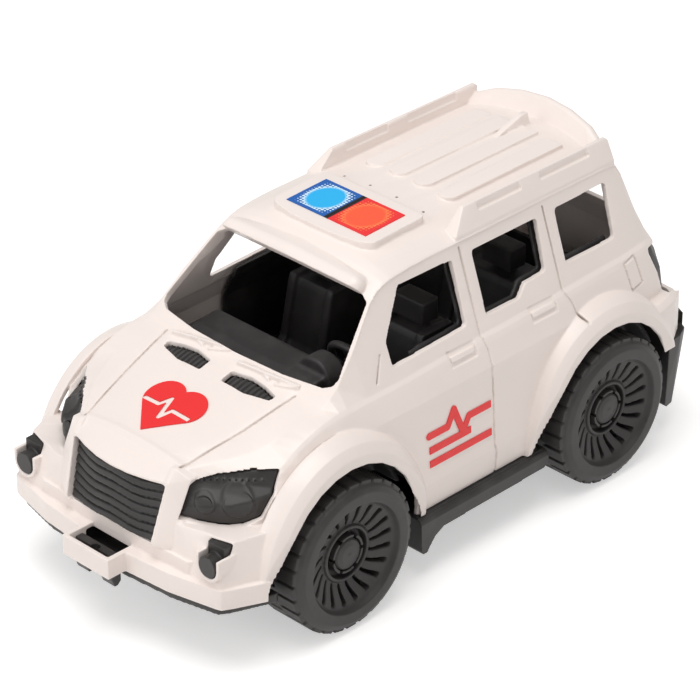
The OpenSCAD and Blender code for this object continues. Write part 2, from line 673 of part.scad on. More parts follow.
// Screw posts that come down from the shell to the chassis
post_shares = [[1.56, 0.30], [-1.79, 0.45]];
post_d = 8;
post_rear_share = 0.45;
post_web_shares = [-1.88, 0.39];
screw_l = 14;
tray_t = 4;
tray_top = lip_z - seat_gap;
function post_base(p) = p[0] > 0 ? lip_z : pan_z + pan_t + seat_gap;
function post_top(p) = p[0] > 0 ? skin_z(p[0], Y(p[1])) - wall / 2 : Z(post_rear_share);
module shell_posts() {
  mirror_y() for (p = post_shares) translate([X(p[0]), Y(p[1]), post_base(p)])
    cylinder(d = post_d, h = post_top(p) - post_base(p), $fn = 10);
  rear = post_shares[1];
  web = [X(post_web_shares[0]), Y(rear[1]) - wall / 2, Z(post_web_shares[1])];
  mirror_y() translate(web) cube([X(rear[0]) - web[0], wall, post_top(rear) - web[2]]);
}

// Room below a level, between two places along the car
tail_cut_share = -1.45;
sill_cut_share = 1.45;
rear_flare_share = -1.3;
rear_flare_z_share = 0.335;
module under(x_low, x_high, z) {
  translate([x_low, -body_w, 0]) cube([x_high - x_low, 2 * body_w, z]);
}

// White moulded shell
module body_shell() {
  color(white_pp) difference() {
    union() {
      shell_posts();
      shell_walls();
    }
    mirror_y() for (p = post_shares) translate([X(p[0]), Y(p[1]), post_base(p) - over])
      cylinder(d = screw_d + 2 * insert_gap, h = screw_l + 2 * over, $fn = 10);
  }
}
module shell_walls() {
  difference() {
    union() {
      difference() {
        union() {
          shell_form();
          bumper_front();
          block_form();
        }
        shell_form(wall);
        bumper_hollow();
        block_form(wall);
        at_arches() scale([1, 1, flare_height_share / flare_width_share]) rotate([90, 0, 0])
          cylinder(r = arch_r + flare_lip, h = 3 * body_w, center = true, $fn = 40);
        under(rear_end, X(tail_cut_share), Z(block_foot_share));
      }
      at_arches() mirror_y() flare();
      nose_frame();
      mirror_y() fog_cradle();
      visor();
      roof_pad();
      roof_ribs();
      fin();
      mirror_y() roof_rail();
      rear_rim();
      wipers();
    }
    at_arches() rotate([90, 0, 0]) cylinder(r = arch_r, h = 3 * body_w, center = true, $fn = 40);
    under(rear_end, X(sill_cut_share), sill_z);
    under(axle_front_x, front_end, lip_z);
    under(rear_end, X(rear_flare_share), Z(rear_flare_z_share));
    under(rear_end, X(rear_side_shares[0][0]) + seat_gap, Z(rear_side_shares[0][1]) + seat_gap);
    side_windows(-body_w, body_w);
    windscreen_prism();
    tail_window();
    grille_prism();
    mirror_y() lamp_prism();
    mirror_y() fog_pocket();
    translate([0, 0, Z(vent_foot_share)]) linear_extrude(body_h) mirror_y() vent_outline();
    mirror_y() tail_prism();
    grooves();
    handle_pockets();
  }
}

// Grille: wavy slats on a bulged face
slat_count = 7;
slat_depth = 1.4;
slat_wave = 1.1;
slat_profile_shares = [[0, 0], [0.12, 1], [0.75, 0.75], [0.88, 0]];
grille_cols = 10;
module grille() {
  low = grille_foot[2] + insert_gap;
  high = grille_top[2] - insert_gap;
  pitch = (high - low) / slat_count;
  levels = concat(
    [for (i = [0:slat_count - 1]) for (p = slat_profile_shares) [low + pitch * (i + p[0]), p[1]]],
      [[high, 0]]);
  rings = [for (j = [grille_cols:-1:0]) let (c = 2 * j / grille_cols - 1) concat(
    [for (l = levels) let (
        inner = l[0] > low && l[0] < high,
        z = l[0] + (inner ? slat_wave * (cos(c * 360) - 1) / 2 : 0),
        y = c * (grille_half(l[0]) - insert_gap))
      [grille_x(y, l[0]) - insert_set - slat_depth * (1 - l[1]), y, z]],
    [for (l = [high, low]) let (y = c * (grille_half(l) - insert_gap)) [grille_x(y, l) - grille_t, y,
      l]])];
  color(black_pp) polyhedron([for (r = rings) each r], ring_faces(len(rings), len(rings[0])),
    convexity = 6);
}

// Headlight: a lens block under the shell's skin with two round lamps and a row of small teeth
lens_set = 1.5;
lens_proud = 0.8;
lamp_round_shares = [[0.22, 0.492, 0.10], [0.55, 0.50, 0.16]];
tooth_count = 9;
tooth_row_shares = [0.2, 0.8, 0.541];
tooth_w = 1.1;
tooth_h = 1;
module on_lamp(along, z) {
  translate([lamp_in[0], lamp_in[1], 0]) rotate([0, 0, lamp_turn])
    translate([along * lamp_run, lamp_depth, z])
    rotate([90, 0, 0]) children();
}
module headlight_solid() {
  difference() {
    intersection() {
      lamp_prism(-insert_gap);
      union() {
        shell_form(lens_set);
        intersection() {
          shell_form(lens_proud);
          union() {
            for (p = lamp_round_shares) on_lamp(p[0], Z(p[1]))
              cylinder(r = lamp_run * p[2], h = 2 * lamp_depth, $fn = 24);
            for (i = [0:tooth_count - 1])
              on_lamp(mix(tooth_row_shares[0], tooth_row_shares[1], i / (tooth_count - 1)),
                Z(tooth_row_shares[2]))
                translate([-tooth_w / 2, 0, 0]) cube([tooth_w, tooth_h, 2 * lamp_depth]);
          }
        }
      }
    }
    shell_form(lens_set + lamp_t);
  }
}
module headlight_left() {
  color(black_pp) headlight_solid();
}
module headlight_right() {
  color(black_pp) mirror([0, 1, 0]) headlight_solid();
}

// Fog lamp: a round lens with the dark square socket behind and above it
module fog_lamp_solid() {
  translate([fog_at[0] - fog_len + insert_gap, fog_at[1], fog_at[2]]) {
    rotate([0, 90, 0]) cylinder(r = fog_r, h = fog_len - fog_wall / 2, $fn = round_fn);
    translate([0, -fog_r, 0]) cube([fog_len / 2, 2 * fog_r, fog_box_h - insert_gap]);
  }
}
module fog_lamp_left() {
  color(black_pp) fog_lamp_solid();
}
module fog_lamp_right() {
  color(black_pp) mirror([0, 1, 0]) fog_lamp_solid();
}

// Bonnet vent: a leaf-shaped plug with cross fins
fin_count = 9;
fin_d = 1;
vent_set = 1.8;
module vent_solid() {
  y_low = Y(vent_shares[0][1]);
  y_high = Y(vent_shares[4][1]);
  x_low = X(vent_shares[2][0]);
  x_high = X(vent_shares[0][0]);
  intersection() {
    translate([0, 0, Z(vent_foot_share)]) linear_extrude(body_h) vent_outline(-insert_gap);
    difference() {
      union() {
        shell_form(vent_set);
        intersection() {
          shell_form(insert_set);
          for (i = [1:fin_count]) hull() for (x = [x_low, x_high])
            translate([x, mix(y_low, y_high, i / (fin_count + 1)), Z(vent_foot_share)])
              cylinder(d = fin_d, h = body_h, $fn = 4);
        }
      }
      shell_form(vent_set + vent_t);
    }
  }
}
module bonnet_vent_left() {
  color(black_pp) vent_solid();
}
module bonnet_vent_right() {
  color(black_pp) mirror([0, 1, 0]) vent_solid();
}

// Tail light: a smooth lens on the rear corner
module tail_solid() {
  intersection() {
    tail_prism(-insert_gap);
    difference() {
      shell_form(lens_proud);
      shell_form(wall + insert_set);
    }
  }
}
module tail_light_left() {
  color(black_pp) tail_solid();
}
module tail_light_right() {
  color(black_pp) mirror([0, 1, 0]) tail_solid();
}

// Two-colour light sticker on the roof pad
beacon_x_shares = [0.281, -0.011];
beacon_y_share = 0.348;
module beacon_half(side) {
  slope = atan2(pad_z(beacon_x_shares[1]) - pad_z(beacon_x_shares[0]),
    X(beacon_x_shares[0]) - X(beacon_x_shares[1]));
  translate([X(beacon_x_shares[1]), side > 0 ? seat_gap / 2 : -Y(beacon_y_share),
    pad_z(beacon_x_shares[1]) + seat_gap / 2])
    rotate([0, slope, 0]) cube([X(beacon_x_shares[0]) - X(beacon_x_shares[1]),
      Y(beacon_y_share) - seat_gap / 2, sticker_t]);
}
module beacon_sticker_blue() {
  color(sticker_blue) beacon_half(-1);
}
module beacon_sticker_red() {
  color(sticker_red) beacon_half(1);
}

// Bonnet sticker: a heart with a pulse line left open, laid over the crown of the bonnet
heart_share = 1.44;
heart_w = 29;
pulse_w = 2;
pulse_shares = [[-0.42, 0.06], [-0.16, 0.06], [-0.08, 0.22], [0.03, -0.12], [0.1, 0.06], [0.42, 0.06]];
patch_n = 8;
module heart_outline() {
  lobe = heart_w / 2 / (1 + sqrt(2) / 2);
  rotate(90) difference() {
    union() {
      rotate(45) square([lobe * 2, lobe * 2], center = true);
      for (q = [-1, 1]) rotate(45) translate([q > 0 ? lobe : 0, q > 0 ? 0 : lobe])
        circle(r = lobe, $fn = 48);
    }
    pulse_line(pulse_shares, heart_w, pulse_w);
  }
}
module pulse_line(shares, size, w) {
  for (i = [0:len(shares) - 2])
    let (a = shares[i] * size, b = shares[i + 1] * size, turn = atan2(b[1] - a[1], b[0] - a[0])) {
    translate(a) rotate(turn) translate([0, -w / 2]) square([norm(b - a), w]);
    translate(a) circle(d = w, $fn = 24);
  }
}
module bonnet_sticker() {
  half = heart_w * 3 / 4;
  s_mid = heart_share;
  s_half = half / front_overhang;
  grid = [for (i = [0:patch_n]) for (j = [0:patch_n])
    let (s = s_mid + s_half * (2 * i / patch_n - 1), y = half * (2 * j / patch_n - 1)) [X(s), y,
      skin_z(s, y) + seat_gap]];
  rings = [for (i = [0:patch_n]) concat(
    [for (j = [0:patch_n]) grid[i * (patch_n + 1) + j]],
    [for (j = [patch_n:-1:0]) grid[i * (patch_n + 1) + j] + [0, 0, sticker_t]])];
  color(sticker_red) intersection() {
    polyhedron([for (r = rings) each r], ring_faces(len(rings), len(rings[0])), convexity = 6);
    translate([X(s_mid), 0, 0]) linear_extrude(body_h) heart_outline();
  }
}

// Door sticker: a pulse line over two stripes, on the plane of the door
door_mark_shares = [0.113, 0.435];
door_mark_share = 0.2333;
door_mark_l = door_mark_share * wheelbase;
door_mark_h = 21;
door_line_w = 3;
door_pulse_shares = [[-0.5, 0.1], [-0.2, 0.1], [-0.1, 0.28], [0.04, -0.06], [0.14, 0.1], [0.5, 0.1]];
module door_mark() {
  pulse_line(door_pulse_shares, door_mark_l, door_line_w);
  for (i = [0, 1]) translate([-door_mark_l / 2, -door_mark_h / 2 + i * door_line_w * 2])
    square([door_mark_l * (1 - i / 3), door_line_w]);
}
module door_sticker_solid(flip) {
  low = [half_w, Z(crease_share)];
  high = [half_w * door_share, Z(door_crease_share)];
  lean = atan2(low[0] - high[0], high[1] - low[1]);
  z = Z(door_mark_shares[1]);
  y = mix(low[0], high[0], (z - low[1]) / (high[1] - low[1]));
  translate([X(door_mark_shares[0]), y, z]) rotate([lean, 0, 0]) translate([0, sticker_t + seat_gap, 0])
    rotate([90, 0, 0])
    linear_extrude(sticker_t) scale([flip, 1]) door_mark();
}
module door_sticker_left() {
  color(sticker_red) door_sticker_solid(-1);
}
module door_sticker_right() {
  color(sticker_red) mirror([0, 1, 0]) door_sticker_solid(1);
}

// Dark inner side panel with the same windows
trim_share = 0.2;
trim_t = 1.6;
trim_gap = 1.6;
trim_x_shares = [-1.28, 0.325];
trim_top_share = 0.915;
module side_trim_solid() {
  ring = section(trim_share, wall + trim_gap);
  outer = [for (i = [1:6]) ring[i]];
  profile = concat(outer, [for (i = [len(outer) - 1:-1:0]) [outer[i][0] - trim_t, outer[i][1]]]);
  base = floor_z + floor_t + seat_gap;
  x_low = X(trim_x_shares[0]);
  x_high = X(trim_x_shares[1]);
  difference() {
    intersection() {
      translate([x_low, 0, 0]) rotate([90, 0, 90]) linear_extrude(x_high - x_low) polygon(profile);
      translate([x_low, 0, base]) cube([x_high - x_low, body_w, Z(trim_top_share) - base]);
    }
    for (shares = [front_window_shares, rear_window_shares, quarter_window_shares])
      across(0, body_w, side_points(shares));
    translate([axle_rear_x, 0, arch_z]) rotate([-90, 0, 0])
      cylinder(r = cover_r + cover_t + seat_gap, h = body_w, $fn = 64);
  }
}
module side_trim_left() {
  color(black_pp) side_trim_solid();
}
module side_trim_right() {
  color(black_pp) mirror([0, 1, 0]) side_trim_solid();
}

// Cabin floor with the covers over the four wheels
floor_t = 2;
floor_x_shares = [0.83, bay_share - 0.037, 0.037 - bay_share, -1.66];
tub_share = 0.50;
floor_y_share = 0.93;
cover_gap = 1;
cover_r = arch_r + cover_gap;
cover_t = 1.6;
cover_in = wheel_back - cover_gap - 2 * cover_t;
cover_out = half_w - flare_lip - cover_t;
floor_outline = [
  [X(floor_x_shares[0]), cover_in + cover_t], [X(floor_x_shares[1]), cover_in + cover_t],
    [X(floor_x_shares[1]), Y(floor_y_share)],
  [X(floor_x_shares[2]), Y(floor_y_share)], [X(floor_x_shares[2]), cover_in + cover_t],
    [X(floor_x_shares[3]), cover_in + cover_t]];
module cabin_floor() {
  color(black_pp) {
    mirror_y() plan(floor_z, floor_z + floor_t,
      concat(floor_outline, [[X(floor_x_shares[3]), 0], [X(floor_x_shares[0]), 0]]));
    translate([X(floor_x_shares[3]), -cover_in - cover_t, floor_z])
      cube([floor_t, 2 * (cover_in + cover_t), Z(tub_share) - floor_z]);
    mirror_y() at_arches() difference() {
      translate([0, cover_in, 0]) rotate([-90, 0, 0])
        cylinder(r = cover_r + cover_t, h = cover_out - cover_in, $fn = 64);
      translate([0, cover_in + cover_t, 0]) rotate([-90, 0, 0])
        cylinder(r = cover_r, h = body_w, $fn = 64);
      translate([-body_h, 0, -body_h]) cube([2 * body_h, body_w, body_h + floor_z - arch_z]);
    }
  }
}

// Dashboard with its instrument hood
dash_shares = [[0.87, 0.655], [0.80, 0.668], [0.64, 0.675], [0.60, 0.65], [0.62, 0.58], [0.72, 0.50],
  [0.78, 0.45]];
dash_y_share = 0.55;
dash_gap = 0.45;
dash_drop = 4;
hood_shares = [0.62, 0.74];
hood_y_share = 0.44;
hood_r = 9;
hood_z_share = 0.645;
module dashboard() {
  foot = floor_z + floor_t + seat_gap;
  front = X(dash_shares[0][0]);
  outline = concat([[front, foot]], side_points(dash_shares), [[X(dash_shares[6][0]), foot]]);
  color(black_pp) difference() {
    union() {
      across(-Y(dash_y_share), Y(dash_y_share), outline);
      intersection() {
        across(dash_gap - cover_in, cover_in - dash_gap, outline);
        translate([0, -half_w, foot + floor_t])
          cube([body_h, body_w, Z(dash_shares[0][1]) - dash_drop - foot - floor_t]);
      }
      translate([X(hood_shares[0]), Y(hood_y_share), Z(hood_z_share)]) rotate([0, 90, 0])
        cylinder(r = hood_r, h = X(hood_shares[1]) - X(hood_shares[0]), $fn = 40);
    }
    steering_axis() cylinder(d = column_d + 2 * seat_gap, h = body_h, $fn = round_fn);
    translate([X(hood_shares[0]) - over, Y(hood_y_share), Z(hood_z_share)]) rotate([0, 90, 0])
      cylinder(r = hood_r - wall, h = 2 * wall, $fn = 40);
  }
}

// Steering wheel on its column
steering_shares = [0.45, 0.44, 0.625];
steering_tilt = 65;
steering_tube = 3.2;
column_d = 4;
column_l = 14;
spoke_w = 3;
module steering_axis() {
  translate(place(steering_shares)) rotate([0, 180 - steering_tilt, 0]) children();
}
module steering_wheel() {
  ring_r = (steering_d - steering_tube) / 2;
  color(black_pp) steering_axis() {
    rotate_extrude($fn = 64) translate([ring_r, 0]) circle(d = steering_tube, $fn = 24);
    for (a = [0, 120, 240]) rotate(a + 60) translate([0, -spoke_w / 2, -steering_tube / 4])
      cube([ring_r, spoke_w, steering_tube / 2]);
    translate([0, 0, -steering_tube / 2]) cylinder(d = column_d * 2, h = steering_tube, $fn = round_fn);
    cylinder(d = column_d, h = column_l, $fn = round_fn);
  }
}

// Seats: side profile swept across, with raised bolsters and headrests
seat_shares = [[0.46, 0.41], [0.42, 0.435], [0.17, 0.42], [0.12, 0.45], [0.055, 0.63], [0.04, 0.65],
  [-0.18, 0.65], [-0.205, 0.63], [-0.16, 0.40]];
seat_y_share = 0.40;
bolster_w = 4;
bolster_h = 1.6;
rest_shares = [-0.115, 0.01, 0.668, 0.742];
rest_w = 16;
rest_post_d = 2.4;
bench_shift_share = -0.755;
bench_gap = 2.6;
module seat_block(w, shift, lift) {
  foot = floor_z + floor_t + seat_gap;
  side = [for (p = seat_shares) [X(p[0] + shift) + lift, Z(p[1]) + lift]];
  across(-w / 2, w / 2, concat([[X(seat_shares[8][0] + shift), foot],
    [X(seat_shares[0][0] + shift), foot]], side));
}
module headrest(shift) {
  low = Z(rest_shares[2]);
  back = X(rest_shares[0] + shift);
  thick = X(rest_shares[1] + shift) - back;
  translate([back, -rest_w / 2, low]) cube([thick, rest_w, Z(rest_shares[3]) - low]);
  for (q = [-1, 1]) translate([back + thick / 3, q * rest_w / 4, Z(seat_shares[7][1])])
    cylinder(d = rest_post_d, h = low - Z(seat_shares[7][1]) + over, $fn = 20);
}
module front_seat_solid() {
  translate([0, Y(seat_y_share), 0]) {
    seat_block(seat_w, 0, 0);
    for (q = [-1, 1]) translate([0, q * (seat_w - bolster_w) / 2, 0]) seat_block(bolster_w, 0, bolster_h);
    headrest(0);
  }
}
module front_seat_left() {
  color(black_pp) front_seat_solid();
}
module front_seat_right() {
  color(black_pp) mirror([0, 1, 0]) front_seat_solid();
}
module rear_bench() {
  bench_w = 2 * (cover_in - bench_gap);
  color(black_pp) {
    seat_block(bench_w, bench_shift_share, 0);
    for (y = [-bench_w + bolster_w, -bolster_w, bolster_w, bench_w - bolster_w]) translate([0, y / 2, 0])
      seat_block(bolster_w, bench_shift_share, bolster_h);
    for (y = [-1, 1]) translate([0, y * bench_w / 4, 0]) headrest(bench_shift_share);
  }
}

// Chassis: pan, floor walls, axle saddles, front ramp and the tray under the bumper
pan_shares = [
  [1.30, 0.61], [bay_share, 0.645], [bay_share - 0.027, 0.80], [-bay_share, 0.80],
    [-bay_share - 0.023, 0.645],
  [-1.60, 0.645], [-1.79, 0.64], [-1.845, 0.46]];
tray_shares = [[1.86, 0], [1.855, 0.2], [1.83, 0.56], [1.77, 0.88], [1.72, 0.92], [1.50, 1.03],
  [1.47, 1.03], [1.47, 0.66], [1.33, 0.61]];
ramp_shares = [1.22, 1.36];
wall_y_share = 0.48;
wall_x_share = bay_share - 0.047;
wall_t = 2.4;
saddle_y_shares = [0.53, 0.67];
saddle_l = 14;
saddle_gap = 0.05;
screw_head_d = 5.4;
screw_head_h = 1.4;
module chassis() {
  ramp = [
    [X(ramp_shares[0]) - pan_t, pan_z], [X(ramp_shares[0]), pan_z],
      [X(ramp_shares[1]), tray_top - tray_t],
    [X(ramp_shares[1]) + pan_t, tray_top - tray_t], [X(ramp_shares[1]) + pan_t, tray_top],
    [X(ramp_shares[1]) - pan_t, tray_top], [X(ramp_shares[0]) - pan_t, pan_z + pan_t]];
  saddle_w = Y(saddle_y_shares[1]) - Y(saddle_y_shares[0]);
  color(black_pp) difference() {
    union() {
      plan(pan_z, pan_z + pan_t, both_sides(pan_shares));
      plan(tray_top - tray_t, tray_top, both_sides(tray_shares));
      across(-Y(tray_shares[8][1]), Y(tray_shares[8][1]), ramp);
      mirror_y() translate([X(-wall_x_share), Y(wall_y_share), pan_z])
        cube([X(wall_x_share) - X(-wall_x_share), wall_t, floor_z - seat_gap - pan_z]);
      for (x = [axle_front_x, axle_rear_x]) mirror_y()
        translate([x - saddle_l / 2, Y(saddle_y_shares[0]), pan_z])
        cube([saddle_l, saddle_w, axle_z + axle_d / 2 - pan_z]);
    }
    for (x = [axle_front_x, axle_rear_x]) translate([x, 0, axle_z]) {
      rotate([90, 0, 0]) cylinder(d = axle_d + 2 * saddle_gap, h = body_w, center = true, $fn = round_fn);
      translate([-axle_d / 2 - saddle_gap, -half_w, 0]) cube([axle_d + 2 * saddle_gap, body_w, axle_d]);
    }
    screw_cuts();
  }
}
function screw_foot(p) = p[0] > 0 ? tray_top - tray_t : pan_z;
module screw_cuts() {
  mirror_y() for (p = post_shares) translate([X(p[0]), Y(p[1]), screw_foot(p) - over]) {
    cylinder(d = screw_d + 2 * insert_gap, h = tray_t + 2 * over, $fn = round_fn);
    cylinder(d = screw_head_d + 2 * insert_gap, h = over + screw_head_h, $fn = round_fn);
  }
}

// Screws from below into the shell's posts
module chassis_screws() {
  color(steel) mirror_y() for (p = post_shares)
    translate([X(p[0]), Y(p[1]), screw_foot(p) + insert_gap]) difference() {
    union() {
      cylinder(d = screw_head_d, h = screw_head_h - 2 * insert_gap, $fn = round_fn);
      cylinder(d = screw_d, h = screw_l, $fn = round_fn);
    }
    for (a = [0, 90]) rotate(a) translate([-screw_d / 2, -screw_d / 8, -over])
      cube([screw_d, screw_d / 4, over + screw_head_h / 2]);
  }
}

// Clips that hold the axles down in their saddles
clip_t = 1.8;
module axle_clip(x) {
  y = Y(saddle_y_shares[0]);
  w = Y(saddle_y_shares[1]) - y;
  top = axle_z + axle_d / 2 + seat_gap;
  leg = top - pan_z - pan_t - seat_gap;
  color(black_pp) mirror_y() translate([x, y + w / 4, 0]) difference() {
    translate([-saddle_l / 2 - seat_gap - clip_t, 0, top - leg])
      cube([saddle_l + 2 * seat_gap + 2 * clip_t, w / 2, leg + clip_t]);
    translate([-saddle_l / 2 - seat_gap, -over, top - leg - over])
      cube([saddle_l + 2 * seat_gap, w + over, leg + over]);
  }
}
module axle_clip_front() {
  axle_clip(axle_front_x);
}
module axle_clip_rear() {
  axle_clip(axle_rear_x);
}

// Tow piece in the box at the nose: a bar with two hooked feet
tow_bar_h = 4;
tow_foot_w = 7;
tow_foot_h = 6.5;
tow_fill_share = 0.6;
module tow_hook() {
  y = box_half - box_wall - insert_gap;
  back = X(lip_shares[0][0]);
  front = front_end - box_wall - insert_gap;
  foot = lip_z - tow_foot_h;
  tow_top = lip_h - tow_bar_h / 2;
  hook = [[back, lip_z + tow_bar_h], [back, foot + tow_foot_h / 4], [back + tow_foot_h / 4, foot],
    [back + tow_foot_h / 2, foot],
    [front - tow_foot_h / 4, foot + tow_foot_h / 2], [front, lip_z + tow_bar_h]];
  color(black_pp) difference() {
    union() {
      across(-y, y, [[back, lip_z], [front, lip_z], [front, lip_z + tow_bar_h / 2],
        [mix(back, front, tow_fill_share), lip_z + tow_bar_h / 2],
          [mix(back, front, tow_fill_share), lip_z + tow_top],
        [back, lip_z + tow_top]]);
      for (q = [-y, y - tow_foot_w]) across(q, q + tow_foot_w, hook);
    }
    translate([mix(back, front, 1 / 2), 0, lip_z - over])
      cylinder(d = tow_bar_h, h = lip_h + 2 * over, $fn = round_fn);
  }
}

// Side step with a flap behind the front wheel
step_x_shares = [
  [bay_share - 0.052, 1], [bay_share - 0.057, 0.47], [bay_share - 0.072, 0.415],
  [bay_share - 0.102, 0.415], [bay_share - 0.122, 0.495], [bay_share - 0.162, 0.622],
  [bay_share - 0.227, 0.707], [0.007 - bay_share, 0.726], [-bay_share - 0.028, 0.811],
  [-bay_share - 0.028, 1]];
step_out_share = 1.05;
step_round = 2.5;
step_groove_w = 0.7;
step_groove_pitch = 1.7;
module side_step_solid() {
  y_in = Y(pan_shares[2][1]) + seat_gap;
  y_out = Y(step_out_share);
  top = sill_z - seat_gap;
  x_low = X(step_x_shares[9][0]);
  x_high = X(step_x_shares[0][0]);
  difference() {
    intersection() {
      across(y_in, y_out, [for (p = step_x_shares) [X(p[0]), p[1] * top]]);
      translate([x_low - over, 0, 0]) rotate([90, 0, 90]) linear_extrude(x_high - x_low + 2 * over)
        polygon([
        [y_in, 0], [y_out, 0], [y_out, top - step_round], [y_out - step_round / 3, top - step_round / 3],
        [y_out - step_round, top], [y_in, top]]);
    }
    for (i = [1, 2]) translate([x_low + step_round, y_out - step_round / 3 - i * step_groove_pitch,
      top - step_groove_w])
      cube([x_high - x_low - 2 * step_round, step_groove_w, step_groove_w + over]);
  }
}
module side_step_left() {
  color(black_pp) side_step_solid();
}
module side_step_right() {
  color(black_pp) mirror([0, 1, 0]) side_step_solid();
}

// Rear bumper: a band round the back, tucked in towards its foot
rear_plan_shares = [[-2, 0], [-1.995, 0.5], [-1.965, 0.82], [-1.90, 0.95], [-1.80, 1], [-1.60, 1.02]];
rear_foot_shares = [[-1.86, 0], [-1.855, 0.5], [-1.84, 0.82], [-1.81, 0.93], [-1.76, 0.98],
  [-1.60, 1.01]];
rear_side_shares = [[-1.67, 0.342], [-1.67, 0.11], [-1.70, 0.096], [-2, 0.096], [-2, 0.385],
  [-1.915, 0.385], [-1.915, 0.342]];
rear_bulge_share = 0.33;
rear_arch_shares = [[0.62, 0.08], [0.52, 0.2]];
rear_t = 3;
bracket_w = 10;
bracket_y_share = 0.15;
bracket_x_share = -1.83;
module rear_form(inset) {
  hull() {
    plan(Z(rear_bulge_share), body_h, both_sides(rear_plan_shares, inset, -1));
    plan(Z(rear_arch_shares[0][1]), Z(rear_arch_shares[0][1]) + rear_t,
      both_sides(rear_foot_shares, inset, -1));
  }
}
module rear_bumper() {
  arch = [for (q = [[1, 0], [1, 1], [-1, 1], [-1, 0]]) [q[0] * Y(rear_arch_shares[q[1]][0]),
    Z(rear_arch_shares[q[1]][1])]];
  color(black_pp) {
    intersection() {
      difference() {
        rear_form(0);
        intersection() {
          rear_form(rear_t);
          under(rear_end, axle_rear_x, Z(rear_side_shares[0][1]) + over);
        }
        translate([rear_end - over, 0, 0]) rotate([90, 0, 90]) linear_extrude(axle_rear_x - rear_end)
          polygon(arch);
      }
      across(-body_w, body_w, side_points(rear_side_shares));
    }
    mirror_y() translate([X(rear_foot_shares[0][0]) - rear_t, Y(bracket_y_share),
      pan_z + pan_t + seat_gap])
      cube([X(bracket_x_share) - X(rear_foot_shares[0][0]) + rear_t, bracket_w,
        Z(rear_bulge_share) - pan_z - pan_t]);
  }
}

// Axle with a domed head at each end
head_r = 6.6;
head_shares = [[1, 0], [1, 0.7], [0.9, 0.85], [0.6, 0.97], [0, 1]];
head_h = 4.6;
head_gap = 0.4;
hub_depth = 9;
module axle_solid(x) {
  y = wheel_face - hub_depth + head_gap;
  color(black_pp) translate([x, 0, axle_z]) {
    rotate([90, 0, 0]) cylinder(d = axle_d, h = 2 * y + 2 * head_gap, center = true, $fn = round_fn);
    mirror_y() translate([0, y, 0]) rotate([-90, 0, 0]) rotate_extrude($fn = round_fn)
      polygon(concat([[0, 0]], [for (p = head_shares) [p[0] * head_r, p[1] * head_h]]));
  }
}
module axle_front() {
  axle_solid(axle_front_x);
}
module axle_rear() {
  axle_solid(axle_rear_x);
}

// Wheel: revolved tyre, dish and hub, two staggered rows of tread and curved slots
tyre_r = tyre_d / 2;
dish_r = dish_d / 2;
carcass_r = tyre_r - tread_depth;
hub_r = 10.4;
hub_ring = 1.6;
collar_r = 8.2;
collar_t = 1.2;
collar_h = 4.2;
dish_depth = 2.4;
dish_fall = 4.2;
shoulder = 3.2;
web_t = 4;
tyre_t = 4.5;
slot_w = 1.5;
slot_swirl = 7;
slot_n = 6;
block_gap_share = 0.78;
module wheel_body() {
  ring_r = hub_r + hub_ring;
  floor_z_hub = -dish_depth - dish_fall;
  rotate_extrude($fn = 96) polygon([
    [axle_d / 2 + axle_clearance, -wheel_w], [axle_d / 2 + axle_clearance, -hub_depth],
    [collar_r - collar_t, -hub_depth], [collar_r - collar_t, collar_h - hub_depth],
    [collar_r, collar_h - hub_depth], [collar_r, -hub_depth], [hub_r, -hub_depth],
    [hub_r, -dish_fall - dish_depth / 2], [hub_r + hub_ring / 3, -dish_fall - dish_depth / 3],
    [ring_r, -dish_fall - dish_depth / 2], [ring_r, floor_z_hub],
    [dish_r - dish_depth / 3, -dish_depth], [dish_r, -dish_depth / 2], [dish_r + dish_depth / 4, 0],
    [carcass_r - shoulder, 0], [carcass_r - shoulder / 3, -shoulder / 3], [carcass_r, -shoulder],
    [carcass_r, shoulder / 2 - wheel_w], [carcass_r - shoulder / 2, -wheel_w],
      [carcass_r - tyre_t, -wheel_w],
    [carcass_r - tyre_t, -dish_depth - web_t], [ring_r, floor_z_hub - web_t],
    [hub_r, -hub_depth - web_t], [hub_r, -wheel_w]]);
}
module tread_row(z_low, z_high, turn) {
  step = 360 / tread_count;
  translate([0, 0, z_low]) rotate(turn) linear_extrude(z_high - z_low) difference() {
    polygon([for (i = [0:tread_count - 1]) each [
      for (a = [[0, 0], [0, 1], [block_gap_share, 1], [block_gap_share, 0]])
        (carcass_r - tread_depth / 2 + a[1] * tread_depth * 3 / 2) * [cos(step * (i + a[0])),
          sin(step * (i + a[0]))]]]);
    circle(r = carcass_r - tread_depth, $fn = 96);
  }
}
function slot_bend(t) = slot_swirl * (3 * t ^ 2 - 2 * t ^ 3);
module slot_outline() {
  r_low = hub_r + hub_ring + slot_w / 2;
  r_high = dish_r - slot_w;
  edge = [for (q = [-1, 1]) [for (i = [0:slot_n]) let (
      t = i / slot_n, r = mix(r_low, r_high, t), a =
        slot_bend(t) + q * slot_w / 2 / r * 180 / PI * mix(2 / 3, 3 / 2, t))
    r * [cos(a), sin(a)]]];
  polygon(concat(edge[0], [for (i = [slot_n:-1:0]) edge[1][i]]));
}
module wheel_solid() {
  difference() {
    union() {
      wheel_body();
      tread_row(-wheel_w / 2 - tread_depth / 4, -shoulder * 3 / 4, 0);
      tread_row(shoulder / 2 - wheel_w, tread_depth / 4 - wheel_w / 2, 180 / tread_count);
    }
    for (i = [0:blade_count - 1]) rotate(i * 360 / blade_count) translate([0, 0, -wheel_w])
      linear_extrude(wheel_w + over) slot_outline();
    for (a = [0, 60, 120]) rotate(a) translate([-collar_r - over / 4, -slot_w / 2, over / 4 - hub_depth])
      cube([2 * collar_r + over / 2, slot_w, collar_h]);
  }
}
module wheel_at(x, side) {
  color(tyre_grey) translate([x, side * wheel_face, axle_z]) mirror([0, side > 0 ? 0 : 1, 0])
    rotate([-90, 0, 0]) wheel_solid();
}
